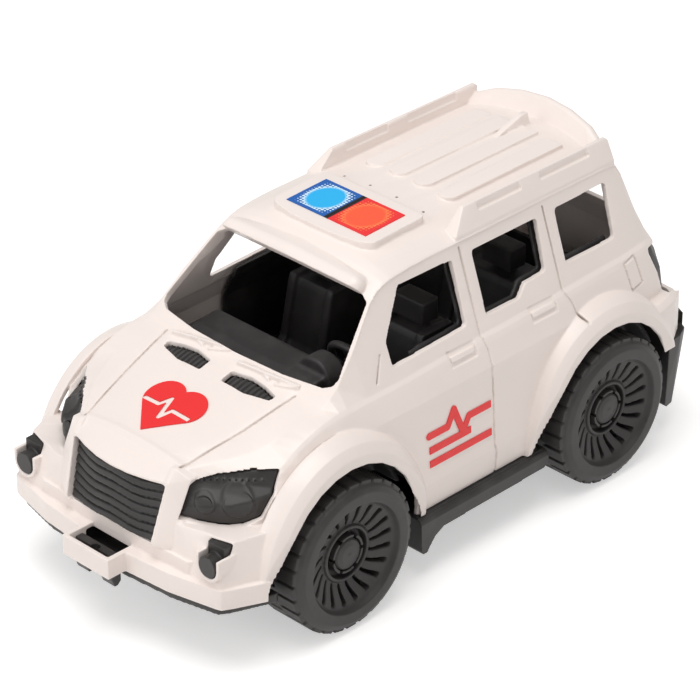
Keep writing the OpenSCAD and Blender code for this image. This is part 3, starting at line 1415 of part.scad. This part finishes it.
module wheel_front_left() {
  wheel_at(axle_front_x, 1);
}
module wheel_front_right() {
  wheel_at(axle_front_x, -1);
}
module wheel_rear_left() {
  wheel_at(axle_rear_x, 1);
}
module wheel_rear_right() {
  wheel_at(axle_rear_x, -1);
}

body_shell();
grille();
headlight_left();
headlight_right();
fog_lamp_left();
fog_lamp_right();
bonnet_vent_left();
bonnet_vent_right();
tail_light_left();
tail_light_right();
beacon_sticker_blue();
beacon_sticker_red();
bonnet_sticker();
door_sticker_left();
door_sticker_right();
side_trim_left();
side_trim_right();
dashboard();
steering_wheel();
front_seat_left();
front_seat_right();
rear_bench();
cabin_floor();
chassis();
tow_hook();
side_step_left();
side_step_right();
rear_bumper();
axle_front();
axle_rear();
axle_clip_front();
axle_clip_rear();
chassis_screws();
wheel_front_left();
wheel_front_right();
wheel_rear_left();
wheel_rear_right();
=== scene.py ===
"""Looks of a toy ambulance: moulded shell, dark trim, cabin, wheels and stickers round its CAD frame."""

import json
import math

import bpy
from mathutils import Matrix, Vector


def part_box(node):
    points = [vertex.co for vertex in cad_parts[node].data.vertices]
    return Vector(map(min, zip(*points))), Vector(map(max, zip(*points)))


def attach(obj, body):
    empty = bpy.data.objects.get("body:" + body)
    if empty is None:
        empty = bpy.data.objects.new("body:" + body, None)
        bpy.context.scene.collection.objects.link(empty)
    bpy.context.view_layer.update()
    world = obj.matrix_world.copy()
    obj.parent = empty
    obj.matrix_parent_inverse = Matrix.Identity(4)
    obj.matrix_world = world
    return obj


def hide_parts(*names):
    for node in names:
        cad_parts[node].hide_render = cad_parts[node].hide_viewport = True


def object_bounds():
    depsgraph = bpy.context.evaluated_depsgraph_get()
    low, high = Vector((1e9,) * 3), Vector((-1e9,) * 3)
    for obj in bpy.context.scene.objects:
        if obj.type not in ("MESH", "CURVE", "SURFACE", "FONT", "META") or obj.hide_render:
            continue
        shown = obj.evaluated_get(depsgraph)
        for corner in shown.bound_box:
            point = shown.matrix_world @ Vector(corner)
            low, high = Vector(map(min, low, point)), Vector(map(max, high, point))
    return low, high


bl_info = {
    "name": "Toy ambulance",
    "version": (1, 0, 0),
    "blender": (4, 5, 0),
    "location": "View3D > Sidebar > Ambulance",
    "description": "Dresses the CAD frame of a moulded toy ambulance",
    "category": "Object",
}

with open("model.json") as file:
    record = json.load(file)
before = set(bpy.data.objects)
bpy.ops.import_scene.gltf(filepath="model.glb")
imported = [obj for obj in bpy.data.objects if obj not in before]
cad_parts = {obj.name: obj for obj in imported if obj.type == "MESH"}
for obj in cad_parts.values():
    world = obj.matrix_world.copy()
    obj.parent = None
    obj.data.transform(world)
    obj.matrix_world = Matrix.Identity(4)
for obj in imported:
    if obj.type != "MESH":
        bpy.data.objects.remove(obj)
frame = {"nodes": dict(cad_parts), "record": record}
CAD_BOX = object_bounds()
MM = 0.001
BODY_OF = {node: body for body, nodes in frame["record"]["behaviour"]["bodies"].items() for node in nodes}


def linear(hex_code):
    """An sRGB hex colour as the linear colour that shaders read."""
    parts = [int(hex_code[i : i + 2], 16) / 255 for i in (1, 3, 5)]
    return tuple(p / 12.92 if p <= 0.04045 else ((p + 0.055) / 1.055) ** 2.4 for p in parts)


def colour(name, description, hex_code):
    """A colour setting with its default from an sRGB hex value."""
    return bpy.props.FloatVectorProperty(
        name=name, description=description, default=linear(hex_code), subtype="COLOR", size=3, min=0, max=1
    )


def length(name, description, mm):
    """A length setting with its default from millimetres."""
    return bpy.props.FloatProperty(
        name=name, description=description, default=mm * MM, unit="LENGTH", precision=5
    )


class AmbulanceColours(bpy.types.PropertyGroup):
    """Colours of the mouldings and the stickers."""

    shell: colour("Shell", "Warm white polypropylene of the body", "#F3E8E2")
    trim: colour("Trim", "Grey-black plastic of grille, lamps, steps and bumper", "#2B2928")
    cabin: colour("Cabin", "Black plastic of seats, dashboard and inner panels", "#262424")
    wheel: colour("Wheel", "Dark grey plastic of the wheels", "#312F2E")
    blue: colour("Beacon blue", "Printed blue of the roof light", "#0A5CB0")
    cyan: colour("Beacon cyan", "Printed glow in the blue light", "#18B4F2")
    red: colour("Sticker red", "Printed red of the stickers", "#F02A2C")
    orange: colour("Beacon orange", "Printed glow in the red light", "#FF8448")
    steel: colour("Steel", "Screws under the chassis", "#B9BBBD")


class AmbulanceSizes(bpy.types.PropertyGroup):
    """Sizes of the softened edges and of the printed patterns."""

    shell_edge: length("Shell edge", "Fineness of the shell's rounded moulded edges", 0.36)
    trim_edge: length("Trim edge", "Fineness of the rounded edges of the small dark parts", 0.3)
    cabin_edge: length("Cabin edge", "Fineness of the rounded edges inside the cabin", 0.6)
    wheel_edge: length("Wheel edge", "Fineness of the rounded edges of the wheels", 0.4)
    dot_pitch: length("Dot pitch", "Spacing of the printed halftone dots", 1.5)
    light_border: length("Light border", "Plain border printed round each half of the roof light", 1.6)
    light_divider: length("Light divider", "Half of the black bar between the two halves", 1.1)
    grain: length("Grain", "Width of the spark-eroded grain on the dark plastic", 0.5)
    pin_mark: length("Pin mark", "Width of a mould pin's mark in the roof", 1.2)
    pin_depth: length("Pin depth", "Depth of a mould pin's mark", 0.7)
    pin_back: length("Pin row", "From the back of the roof light to the row of pin marks", 10.2)
    bulb_rim: length("Bulb rim", "Widest part of the dark crescent over a round lamp", 0.7)
    lens_dot: length("Lens dot", "Width of a dimple in the row along the top of a headlight", 0.9)


class Tree:
    """Fills a node tree: add makes one node, with inputs by name, or by place as i0, i1 and so on."""

    def __init__(self, tree):
        self.tree = tree
        tree.nodes.clear()

    def add(self, kind, settings=None, **inputs):
        node = self.tree.nodes.new("ShaderNode" + kind)
        for key, value in (settings or {}).items():
            setattr(node, key, value)
        for key, value in inputs.items():
            by_place = key[0] == "i" and key[1:].isdigit()
            socket = node.inputs[int(key[1:]) if by_place else key.replace("_", " ")]
            if isinstance(value, bpy.types.NodeSocket):
                self.tree.links.new(value, socket)
            else:
                socket.default_value = value
        return node


FLOW_CLOUD = 45 * MM
ORANGE_PEEL = 1.6 * MM
RUBBED_PATCH = 12 * MM
STEEL_GRAIN = 0.6 * MM
INK_GRAIN = 0.9 * MM
GROOVE_REACH = 1.6 * MM
RELIEF = 0.1 * MM
PLASTIC_IOR = 1.49
FILM_IOR = 1.46
# Warm grey of the shade painted into the shell's grooves and creases.
PAINTED_GROOVE_SHADE = linear("#8A7D75")
RUBBED_GREY = linear("#6E6B69")
BAR_BLACK = linear("#0B0B0C")
PAPER_WHITE = linear("#EFEDEC")


def rgba(rgb):
    return (*rgb, 1.0)


def new_material(name):
    material = bpy.data.materials.new(name)
    material.use_nodes = True
    return material, Tree(material.node_tree)


def moulded_polypropylene(rgb):
    """Polypropylene from a polished mould: satin and slightly waxy, faintly clouded, with painted shade
    darkening the grooves.
    """
    material, t = new_material("polypropylene_moulded_white")
    place = t.add("TexCoord").outputs["Object"]
    clouds = t.add("TexNoise", Vector=place, Scale=1 / FLOW_CLOUD, Detail=2.0, Roughness=0.5)
    cloud = clouds.outputs["Fac"]
    tint = t.add("MixRGB", {"blend_type": "MULTIPLY"}, Fac=0.05, Color1=rgba(rgb), Color2=cloud)
    # Painted shade: ambient occlusion darkens the grooves and creases towards a warm grey, standing in for
    # the shade that falls in them.
    hollow = t.add("AmbientOcclusion", {"samples": 8, "only_local": True}, Distance=GROOVE_REACH)
    painted_shade = t.add("MapRange", Value=hollow.outputs["AO"], From_Min=0.3, From_Max=0.8, To_Min=0.6, To_Max=0.0)
    unshaded, groove_shade_grey = tint.outputs["Color"], rgba(PAINTED_GROOVE_SHADE)
    shaded = t.add("MixRGB", Fac=painted_shade.outputs["Result"], Color1=unshaded, Color2=groove_shade_grey)
    peel = t.add("TexNoise", Vector=place, Scale=1 / ORANGE_PEEL, Detail=2.0, Roughness=0.6)
    bump = t.add("Bump", Strength=0.06, Distance=RELIEF, Height=peel.outputs["Fac"])
    gloss = t.add("MapRange", Value=cloud, To_Min=0.3, To_Max=0.42)
    surface = t.add(
        "BsdfPrincipled",
        Base_Color=shaded.outputs["Color"],
        Roughness=gloss.outputs["Result"],
        IOR=PLASTIC_IOR,
        Normal=bump.outputs["Normal"],
    )
    t.add("OutputMaterial", Surface=surface.outputs["BSDF"])
    return material


def grained_polypropylene(name, rgb, grain, low, high):
    """Dyed polypropylene from a spark-eroded mould: fine grain in the highlight, greyer rubbed patches."""
    material, t = new_material(name)
    place = t.add("TexCoord").outputs["Object"]
    pits = t.add("TexVoronoi", {"feature": "SMOOTH_F1"}, Vector=place, Scale=1 / grain, Smoothness=0.6)
    clouds = t.add("TexNoise", Vector=place, Scale=1 / RUBBED_PATCH, Detail=3.0)
    cloud = clouds.outputs["Fac"]
    rubbed = t.add("MapRange", Value=cloud, From_Min=0.45, From_Max=0.75, To_Min=0.0, To_Max=0.14)
    tint = t.add("MixRGB", Fac=rubbed.outputs["Result"], Color1=rgba(rgb), Color2=rgba(RUBBED_GREY))
    bump = t.add("Bump", Strength=0.12, Distance=RELIEF, Height=pits.outputs["Distance"])
    gloss = t.add("MapRange", Value=cloud, To_Min=low, To_Max=high)
    surface = t.add(
        "BsdfPrincipled",
        Base_Color=tint.outputs["Color"],
        Roughness=gloss.outputs["Result"],
        IOR=PLASTIC_IOR,
        Normal=bump.outputs["Normal"],
    )
    t.add("OutputMaterial", Surface=surface.outputs["BSDF"])
    return material


def turned_steel(rgb):
    """Bright cold-formed screw heads: metallic, with a fine grain in the gloss."""
    material, t = new_material("steel_drawn_bright")
    place = t.add("TexCoord").outputs["Object"]
    grain = t.add("TexNoise", Vector=place, Scale=1 / STEEL_GRAIN, Detail=2.0)
    gloss = t.add("MapRange", Value=grain.outputs["Fac"], To_Min=0.22, To_Max=0.42)
    surface = t.add("BsdfPrincipled", Base_Color=rgba(rgb), Metallic=1.0, Roughness=gloss.outputs["Result"])
    t.add("OutputMaterial", Surface=surface.outputs["BSDF"])
    return material


def printed_vinyl(name, rgb):
    """Printed vinyl film: one ink under a clear gloss face, with the slight unevenness of the print."""
    material, t = new_material(name)
    place = t.add("TexCoord").outputs["Object"]
    ink = t.add("TexNoise", Vector=place, Scale=1 / INK_GRAIN, Detail=2.0)
    tint = t.add("MixRGB", {"blend_type": "MULTIPLY"}, Fac=0.08, Color1=rgba(rgb), Color2=ink.outputs["Fac"])
    surface = t.add(
        "BsdfPrincipled", Base_Color=tint.outputs["Color"], Roughness=0.4, IOR=FILM_IOR, Coat_Weight=0.1
    )
    t.add("OutputMaterial", Surface=surface.outputs["BSDF"])
    return material


def beacon_vinyl(name, ground, glow, dots, low, high, bar_side, sizes):
    """Printed vinyl of half a roof light: a glow that ends in halftone dots, a border and a black bar."""
    material, t = new_material(name)
    place = t.add("TexCoord").outputs["Object"]
    half = [(b - a) / 2 for a, b in zip(low, high)]
    middle = [(a + b) / 2 for a, b in zip(low, high)]
    seat = t.add("VectorMath", {"operation": "SUBTRACT"}, i0=place, i1=middle).outputs["Vector"]
    span = t.add("VectorMath", {"operation": "ABSOLUTE"}, i0=seat).outputs["Vector"]
    past = t.add("VectorMath", {"operation": "SUBTRACT"}, i0=span, i1=half).outputs["Vector"]
    inset = t.add("SeparateXYZ", Vector=past).outputs
    rim = t.add("Math", {"operation": "MAXIMUM"}, i0=inset["X"], i1=inset["Y"]).outputs["Value"]
    plain = t.add("Math", {"operation": "GREATER_THAN"}, i0=rim, i1=-sizes.light_border).outputs["Value"]
    oval = t.add("VectorMath", {"operation": "DIVIDE"}, i0=seat, i1=(half[0] * 0.95, half[1] * 0.85, 1.0))
    far = t.add("VectorMath", {"operation": "LENGTH"}, i0=oval.outputs["Vector"]).outputs["Value"]
    cell = t.add("VectorMath", {"operation": "SCALE"}, Vector=place, Scale=1 / sizes.dot_pitch)
    part = t.add("VectorMath", {"operation": "FRACTION"}, i0=cell.outputs["Vector"])
    flat = t.add("VectorMath", {"operation": "MULTIPLY"}, i0=part.outputs["Vector"], i1=(1, 1, 0))
    dot = t.add("VectorMath", {"operation": "DISTANCE"}, i0=flat.outputs["Vector"], i1=(0.5, 0.5, 0))
    size = t.add("MapRange", Value=far, From_Min=0.75, From_Max=1.3, To_Min=0.66, To_Max=0.0)
    inside = t.add("Math", {"operation": "LESS_THAN"}, i0=dot.outputs["Value"], i1=size.outputs["Result"])
    body = t.add("MapRange", Value=far, From_Min=0.75, From_Max=0.9, To_Min=1.0, To_Max=0.0)
    ring = t.add("MixRGB", Fac=inside.outputs["Value"], Color1=rgba(ground), Color2=rgba(dots))
    glowing = t.add("MixRGB", Fac=body.outputs["Result"], Color1=ring.outputs["Color"], Color2=rgba(glow))
    framed = t.add("MixRGB", Fac=plain, Color1=glowing.outputs["Color"], Color2=rgba(ground))
    across = t.add("SeparateXYZ", Vector=seat).outputs["Y"]
    to_bar = t.add("Math", {"operation": "MULTIPLY"}, i0=across, i1=bar_side).outputs["Value"]
    bar = t.add("Math", {"operation": "GREATER_THAN"}, i0=to_bar, i1=half[1] - sizes.light_divider)
    plain_face = framed.outputs["Color"]
    printed = t.add("MixRGB", Fac=bar.outputs["Value"], Color1=plain_face, Color2=rgba(BAR_BLACK))
    surface = t.add(
        "BsdfPrincipled", Base_Color=printed.outputs["Color"], Roughness=0.38, IOR=FILM_IOR, Coat_Weight=0.1
    )
    t.add("OutputMaterial", Surface=surface.outputs["BSDF"])
    return material


def select_only(obj):
    bpy.ops.object.select_all(action="DESELECT")
    obj.select_set(True)
    bpy.context.view_layer.objects.active = obj


def apply_modifier(obj, kind, **settings):
    select_only(obj)
    modifier = obj.modifiers.new(kind.title(), kind)
    for key, value in settings.items():
        setattr(modifier, key, value)
    bpy.ops.object.modifier_apply(modifier=modifier.name)


CRISP_EDGE = math.radians(40)
MERGE = 0.01 * MM


def shade(obj):
    """Smooth shading that keeps the moulded edges crisp."""
    select_only(obj)
    bpy.ops.object.shade_smooth_by_angle(angle=CRISP_EDGE)


def merged_copy(node, name):
    """A copy of a CAD node with its loose triangles joined."""
    obj = bpy.data.objects.new(name, frame["nodes"][node].data.copy())
    bpy.context.scene.collection.objects.link(obj)
    select_only(obj)
    bpy.ops.object.mode_set(mode="EDIT")
    bpy.ops.mesh.select_all(action="SELECT")
    bpy.ops.mesh.remove_doubles(threshold=MERGE)
    bpy.ops.object.mode_set(mode="OBJECT")
    return obj


def settle(obj, node, material):
    """Gives a finished piece its material and its body, and hides the CAD node it stands for."""
    obj.data.materials.clear()
    obj.data.materials.append(material)
    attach(obj, BODY_OF[node])
    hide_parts(node)
    return obj


def soft_moulding(node, edge, rounds, most, material):
    """A moulded piece from its CAD node: edges rounded in so many rounds, with so many triangles at most."""
    obj = merged_copy(node, node + "_moulded")
    apply_modifier(obj, "REMESH", mode="VOXEL", voxel_size=edge)
    if node == "body_shell":
        round_flares(obj)
    apply_modifier(obj, "SMOOTH", factor=0.5, iterations=rounds)
    triangles = sum(len(p.vertices) - 2 for p in obj.data.polygons)
    if triangles > most:
        apply_modifier(obj, "DECIMATE", ratio=most / triangles)
    shade(obj)
    return settle(obj, node, material)


def like_moulding(piece, source, node, material):
    """A copy of a finished moulding, moved from its own node to a like one."""
    obj = bpy.data.objects.new(node + "_moulded", piece.data.copy())
    bpy.context.scene.collection.objects.link(obj)
    obj.data.transform(Matrix.Translation(Vector(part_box(node)[0]) - Vector(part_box(source)[0])))
    return settle(obj, node, material)


# The solid flares are polygons of 28 sides round a centre 4 mm under the axle, taller than they are long.
ARCH_DROP = 4 * MM
FLARE_SIDES = 28
FLARE_STRETCH = 1.37 / 1.2
FLARE_IN, FLARE_OUT = 1.2, 1.6
FADE_IN, FADE_OUT = 0.05, 0.1


def round_flares(shell):
    """Swells the flat facets of the four wheel flares out to true arcs round the arches."""
    step = 2 * math.pi / FLARE_SIDES
    for end in ("front", "rear"):
        low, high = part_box("wheel_%s_left" % end)
        axle, tyre = (low[0] + high[0]) / 2, (high[2] - low[2]) / 2
        centre = (low[2] + high[2]) / 2 - ARCH_DROP
        for vertex in shell.data.vertices:
            along, up = vertex.co.x - axle, (vertex.co.z - centre) / FLARE_STRETCH
            reach = math.hypot(along, up)
            if up < 0 or abs(vertex.co.y) < low[1] or not FLARE_IN * tyre < reach < FLARE_OUT * tyre:
                continue
            turn = math.atan2(up, along) % step
            swell = math.cos(turn - step / 2) / math.cos(step / 2) - 1
            fade = min(1, (reach / tyre - FLARE_IN) / FADE_IN, (FLARE_OUT - reach / tyre) / FADE_OUT)
            vertex.co.x += along * swell * fade
            vertex.co.z += up * FLARE_STRETCH * swell * fade


PIN_SHARES = (-1, -1 / 3, 1 / 3, 1)
PIN_SIDES = 20


def press_pin_marks(shell, sizes):
    """Four round marks of mould pins in the roof, in a row behind the roof light."""
    low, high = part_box("beacon_sticker_red")
    width = max(abs(low[1]), abs(high[1]))
    pins = []
    for share in PIN_SHARES:
        above = Vector((low[0] - sizes.pin_back, share * width, 2 * CAD_BOX[1][2]))
        found, roof, _, _ = shell.ray_cast(above, Vector((0, 0, -1)))
        if not found:
            raise RuntimeError("no roof under the pin marks")
        bpy.ops.mesh.primitive_cylinder_add(
            vertices=PIN_SIDES, radius=sizes.pin_mark / 2, depth=2 * sizes.pin_depth, location=roof
        )
        pins.append(bpy.context.active_object)
    select_only(pins[0])
    for pin in pins:
        pin.select_set(True)
    bpy.ops.object.join()
    cutter = bpy.context.active_object
    apply_modifier(shell, "BOOLEAN", operation="DIFFERENCE", solver="EXACT", object=cutter)
    bpy.data.objects.remove(cutter)
    shade(shell)


# Places on a headlight are shares of its box, from its back, inner and lower side.
# A lamp's last number is its radius in millimetres.
BULBS = ((0.629, 0.821, 0.472, 5.5), (0.868, 0.496, 0.418, 3.5))
DOT_ROW = ((0.708, 0.35, 0.762), (0.36, 0.80, 0.80))
DOTS = 9
LAMP_RISE = math.radians(33)
LAMP_TURN = math.radians(46)
BORE_RUN = 20 * MM
RAY_START = 50 * MM
CRESCENT_DEEP, CORE_DEEP, DOT_DEEP = 1.0 * MM, 3.0 * MM, 0.5 * MM
BULB_SIDES, DOT_SIDES = 64, 16


def carve_headlight(lens, node, sizes):
    """A dark crescent over each of the two round lamps, and a row of dimples along the top of the lens."""
    low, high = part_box(node)
    side = 1 if low[1] + high[1] > 0 else -1
    axis = Vector(
        (
            math.cos(LAMP_RISE) * math.cos(LAMP_TURN),
            side * math.cos(LAMP_RISE) * math.sin(LAMP_TURN),
            math.sin(LAMP_RISE),
        )
    )
    turn = axis.to_track_quat("Z", "Y")
    upwards = (Vector((0, 0, 1)) - axis * axis.z).normalized()
    cutters = []

    def on_lens(shares):
        across = shares[1] if side > 0 else 1 - shares[1]
        point = Vector([a + (b - a) * s for a, b, s in zip(low, high, (shares[0], across, shares[2]))])
        found, place, _, _ = lens.ray_cast(point + axis * RAY_START, -axis)
        if not found:
            raise RuntimeError("no lens under a lamp of " + node)
        return place

    def bore(place, radius, deep, sides):
        middle = place + axis * (BORE_RUN / 2 - deep)
        bpy.ops.mesh.primitive_cylinder_add(
            vertices=sides, radius=radius, depth=BORE_RUN, location=middle, rotation=turn.to_euler()
        )
        return bpy.context.active_object

    for *shares, radius in BULBS:
        place = on_lens(shares)
        crescent = bore(place, radius * MM, CRESCENT_DEEP, BULB_SIDES)
        core = bore(place - upwards * sizes.bulb_rim, radius * MM, CORE_DEEP, BULB_SIDES)
        apply_modifier(crescent, "BOOLEAN", operation="DIFFERENCE", solver="EXACT", object=core)
        bpy.data.objects.remove(core)
        cutters.append(crescent)
    for i in range(DOTS):
        share = i / (DOTS - 1)
        place = on_lens([a + (b - a) * share for a, b in zip(*DOT_ROW)])
        cutters.append(bore(place, sizes.lens_dot / 2, DOT_DEEP, DOT_SIDES))
    for cutter in cutters:
        apply_modifier(lens, "BOOLEAN", operation="DIFFERENCE", solver="EXACT", object=cutter)
        bpy.data.objects.remove(cutter)
    shade(lens)


def paint_node(node, material):
    """A CAD node that keeps its shape and gets a finish."""
    data = frame["nodes"][node].data
    data.materials.clear()
    data.materials.append(material)


# Rounds of smoothing, from edges that stay tight to a lens or slats melted smooth.
TIGHT, EDGED, SLATTED, PADDED, MELTED = 1, 2, 6, 8, 40
# Most triangles of a piece.
SHELL_MOST, WHEEL_MOST, CHASSIS_MOST = 190000, 90000, 60000
PANEL_MOST, INSERT_MOST, VENT_MOST, STEERING_MOST = 40000, 30000, 20000, 16000


class AMBULANCE_OT_shell(bpy.types.Operator):
    """White shell with soft moulded edges"""

    bl_idname = "ambulance.shell"
    bl_label = "Shell"

    def execute(self, context):
        colours, sizes = context.scene.ambulance_colours, context.scene.ambulance_sizes
        white = moulded_polypropylene(colours.shell)
        shell = soft_moulding("body_shell", sizes.shell_edge, EDGED, SHELL_MOST, white)
        press_pin_marks(shell, sizes)
        return {"FINISHED"}


class AMBULANCE_OT_trim(bpy.types.Operator):
    """Grille, lamps, vents, bumper, steps and chassis in grey-black plastic"""

    bl_idname = "ambulance.trim"
    bl_label = "Dark trim"

    def execute(self, context):
        colours, sizes = context.scene.ambulance_colours, context.scene.ambulance_sizes
        name = "polypropylene_spark_eroded_grey_black"
        dark = grained_polypropylene(name, colours.trim, sizes.grain, 0.38, 0.55)
        slot, edge = "trim_black", sizes.trim_edge
        soft_moulding("grille", edge, SLATTED, INSERT_MOST, dark)
        for node in ("tow_hook", "fog_lamp_left", "fog_lamp_right", "tail_light_left", "tail_light_right"):
            soft_moulding(node, edge, EDGED, INSERT_MOST, dark)
        for node in ("headlight_left", "headlight_right"):
            lens = soft_moulding(node, edge, MELTED, INSERT_MOST, dark)
            carve_headlight(lens, node, sizes)
        for node in ("bonnet_vent_left", "bonnet_vent_right"):
            soft_moulding(node, edge, MELTED, VENT_MOST, dark)
        for node in ("side_step_left", "side_step_right", "rear_bumper"):
            soft_moulding(node, edge, TIGHT, PANEL_MOST, dark)
        soft_moulding("chassis", sizes.cabin_edge, EDGED, CHASSIS_MOST, dark)
        return {"FINISHED"}


class AMBULANCE_OT_cabin(bpy.types.Operator):
    """Seats, bench, dashboard, steering wheel and inner panels"""

    bl_idname = "ambulance.cabin"
    bl_label = "Cabin"

    def execute(self, context):
        colours, sizes = context.scene.ambulance_colours, context.scene.ambulance_sizes
        name = "polypropylene_spark_eroded_black"
        black = grained_polypropylene(name, colours.cabin, sizes.grain, 0.45, 0.62)
        slot, edge = "cabin_black", sizes.cabin_edge
        for node in ("front_seat_left", "front_seat_right", "rear_bench", "dashboard"):
            soft_moulding(node, edge, PADDED, INSERT_MOST, black)
        soft_moulding("steering_wheel", sizes.trim_edge, EDGED, STEERING_MOST, black)
        for node in ("side_trim_left", "side_trim_right", "cabin_floor"):
            soft_moulding(node, edge, EDGED, PANEL_MOST, black)
        return {"FINISHED"}


class AMBULANCE_OT_wheels(bpy.types.Operator):
    """Four one-piece wheels with block tread and turbine dish"""

    bl_idname = "ambulance.wheels"
    bl_label = "Wheels"

    def execute(self, context):
        colours, sizes = context.scene.ambulance_colours, context.scene.ambulance_sizes
        grey = grained_polypropylene("polypropylene_matt_dark_grey", colours.wheel, sizes.grain, 0.45, 0.62)
        for side in ("left", "right"):
            front, rear = "wheel_front_" + side, "wheel_rear_" + side
            wheel = soft_moulding(front, sizes.wheel_edge, EDGED, WHEEL_MOST, grey)
            like_moulding(wheel, front, rear, grey)
        return {"FINISHED"}


class AMBULANCE_OT_stickers(bpy.types.Operator):
    """Printed roof light, bonnet heart and door marks"""

    bl_idname = "ambulance.stickers"
    bl_label = "Stickers"

    def execute(self, context):
        colours, sizes = context.scene.ambulance_colours, context.scene.ambulance_sizes
        lights = {
            "beacon_sticker_blue": ("vinyl_printed_blue", colours.blue, colours.cyan, linear("#D6F1FF")),
            "beacon_sticker_red": ("vinyl_printed_red", colours.red, linear("#FF5A34"), colours.orange),
        }
        for node, (name, ground, glow, dots) in lights.items():
            low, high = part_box(node)
            bar_side = 1 if low[1] + high[1] < 0 else -1
            paint_node(node, beacon_vinyl(name, ground, glow, dots, low, high, bar_side, sizes))
        red = printed_vinyl("vinyl_printed_mark_red", colours.red)
        for node in ("bonnet_sticker", "door_sticker_left", "door_sticker_right"):
            paint_node(node, red)
        return {"FINISHED"}


class AMBULANCE_OT_fasteners(bpy.types.Operator):
    """Steel screws, and the moulded axles with their clips"""

    bl_idname = "ambulance.fasteners"
    bl_label = "Fasteners"

    def execute(self, context):
        colours, sizes = context.scene.ambulance_colours, context.scene.ambulance_sizes
        steel = turned_steel(colours.steel)
        paint_node("chassis_screws", steel)
        dark = grained_polypropylene("polypropylene_clip_black", colours.trim, sizes.grain, 0.4, 0.55)
        for node in ("axle_front", "axle_rear", "axle_clip_front", "axle_clip_rear"):
            paint_node(node, dark)
        return {"FINISHED"}


FLOOR_SIZE = 14
FLOOR_DROP = 0.2 * MM
FLOOR_LIFT = 0.45
SKY_LIGHT = 0.42
BOX_SIZE = 1.0
SOFTBOXES = (
    ("softbox_top", (0.25, 0.1, 1.5), 12.5, (1.0, 0.99, 0.98)),
    ("softbox_front", (1.5, -0.5, 0.8), 7, (1.0, 1.0, 1.0)),
    ("softbox_side", (0.3, 1.6, 0.7), 2.5, (1.0, 0.96, 0.93)),
)
LOOK_AT = Vector((0.0012, 0.0, 0.06712))
CAMERA_AWAY = 1.35585
CAMERA_TURN = math.radians(44.676)
CAMERA_RISE = math.radians(30.191)
CAMERA_LENS = 174.97
CAMERA_SENSOR = 36


def soft_lamp(name, at, watts, rgb):
    """A square softbox that faces the car."""
    bpy.ops.object.light_add(type="AREA", location=at)
    lamp = bpy.context.active_object
    lamp.name = name
    lamp.data.shape = "SQUARE"
    lamp.data.size = BOX_SIZE
    lamp.data.energy = watts
    lamp.data.color = rgb
    lamp.rotation_euler = (LOOK_AT - Vector(at)).to_track_quat("-Z", "Y").to_euler()
    return lamp


class AMBULANCE_OT_stage(bpy.types.Operator):
    """Pale floor, soft light, white backdrop and the camera"""

    bl_idname = "ambulance.stage"
    bl_label = "Stage"

    def execute(self, context):
        scene = context.scene
        scene.view_settings.view_transform = "Standard"
        bpy.ops.mesh.primitive_plane_add(size=FLOOR_SIZE, location=(0, 0, -FLOOR_DROP))
        floor = context.active_object
        floor.name = "stage_floor"
        material, t = new_material("paper_white_matt")
        rays = t.add("LightPath").outputs
        seen = t.add("Math", {"operation": "MAXIMUM"}, i0=rays["Is Camera Ray"], i1=rays["Is Glossy Ray"])
        paper = t.add("BsdfDiffuse", Color=rgba(PAPER_WHITE))
        lift = t.add("Math", {"operation": "MULTIPLY"}, i0=seen.outputs["Value"], i1=FLOOR_LIFT)
        glow = t.add("Emission", Strength=lift.outputs["Value"])
        both = t.add("AddShader", i0=paper.outputs["BSDF"], i1=glow.outputs["Emission"])
        t.add("OutputMaterial", Surface=both.outputs["Shader"])
        floor.data.materials.append(material)
        world = bpy.data.worlds.new("studio")
        world.use_nodes = True
        scene.world = world
        w = Tree(world.node_tree)
        rays = w.add("LightPath").outputs
        direct, through = rays["Is Camera Ray"], rays["Is Transmission Ray"]
        seen = w.add("Math", {"operation": "MAXIMUM"}, i0=direct, i1=through)
        level = w.add("MapRange", Value=seen.outputs["Value"], To_Min=SKY_LIGHT, To_Max=1.0)
        back = w.add("Background", Color=(1, 1, 1, 1), Strength=level.outputs["Result"])
        w.add("OutputWorld", Surface=back.outputs["Background"])
        for box in SOFTBOXES:
            soft_lamp(*box)
        away = Vector(
            (
                math.cos(CAMERA_RISE) * math.cos(CAMERA_TURN),
                math.cos(CAMERA_RISE) * math.sin(CAMERA_TURN),
                math.sin(CAMERA_RISE),
            )
        )
        bpy.ops.object.camera_add(location=LOOK_AT + away * CAMERA_AWAY)
        camera = context.active_object
        camera.rotation_euler = (-away).to_track_quat("-Z", "Y").to_euler()
        camera.data.lens = CAMERA_LENS
        camera.data.sensor_width = CAMERA_SENSOR
        scene.camera = camera
        return {"FINISHED"}


PIECES = (
    AMBULANCE_OT_shell,
    AMBULANCE_OT_trim,
    AMBULANCE_OT_cabin,
    AMBULANCE_OT_wheels,
    AMBULANCE_OT_stickers,
    AMBULANCE_OT_fasteners,
    AMBULANCE_OT_stage,
)


class AMBULANCE_PT_panel(bpy.types.Panel):
    """Lists the pieces of the ambulance"""

    bl_label = "Ambulance"
    bl_idname = "AMBULANCE_PT_panel"
    bl_space_type = "VIEW_3D"
    bl_region_type = "UI"
    bl_category = "Ambulance"

    def draw(self, context):
        for piece in PIECES:
            self.layout.operator(piece.bl_idname)


CLASSES = (AmbulanceColours, AmbulanceSizes, *PIECES, AMBULANCE_PT_panel)


def register():
    for cls in CLASSES:
        bpy.utils.register_class(cls)
    bpy.types.Scene.ambulance_colours = bpy.props.PointerProperty(type=AmbulanceColours)
    bpy.types.Scene.ambulance_sizes = bpy.props.PointerProperty(type=AmbulanceSizes)


def unregister():
    del bpy.types.Scene.ambulance_sizes
    del bpy.types.Scene.ambulance_colours
    for cls in reversed(CLASSES):
        bpy.utils.unregister_class(cls)


def main():
    register()
    for piece in PIECES:
        family, name = piece.bl_idname.split(".")
        getattr(getattr(bpy.ops, family), name)()


if __name__ == "__main__":
    main()
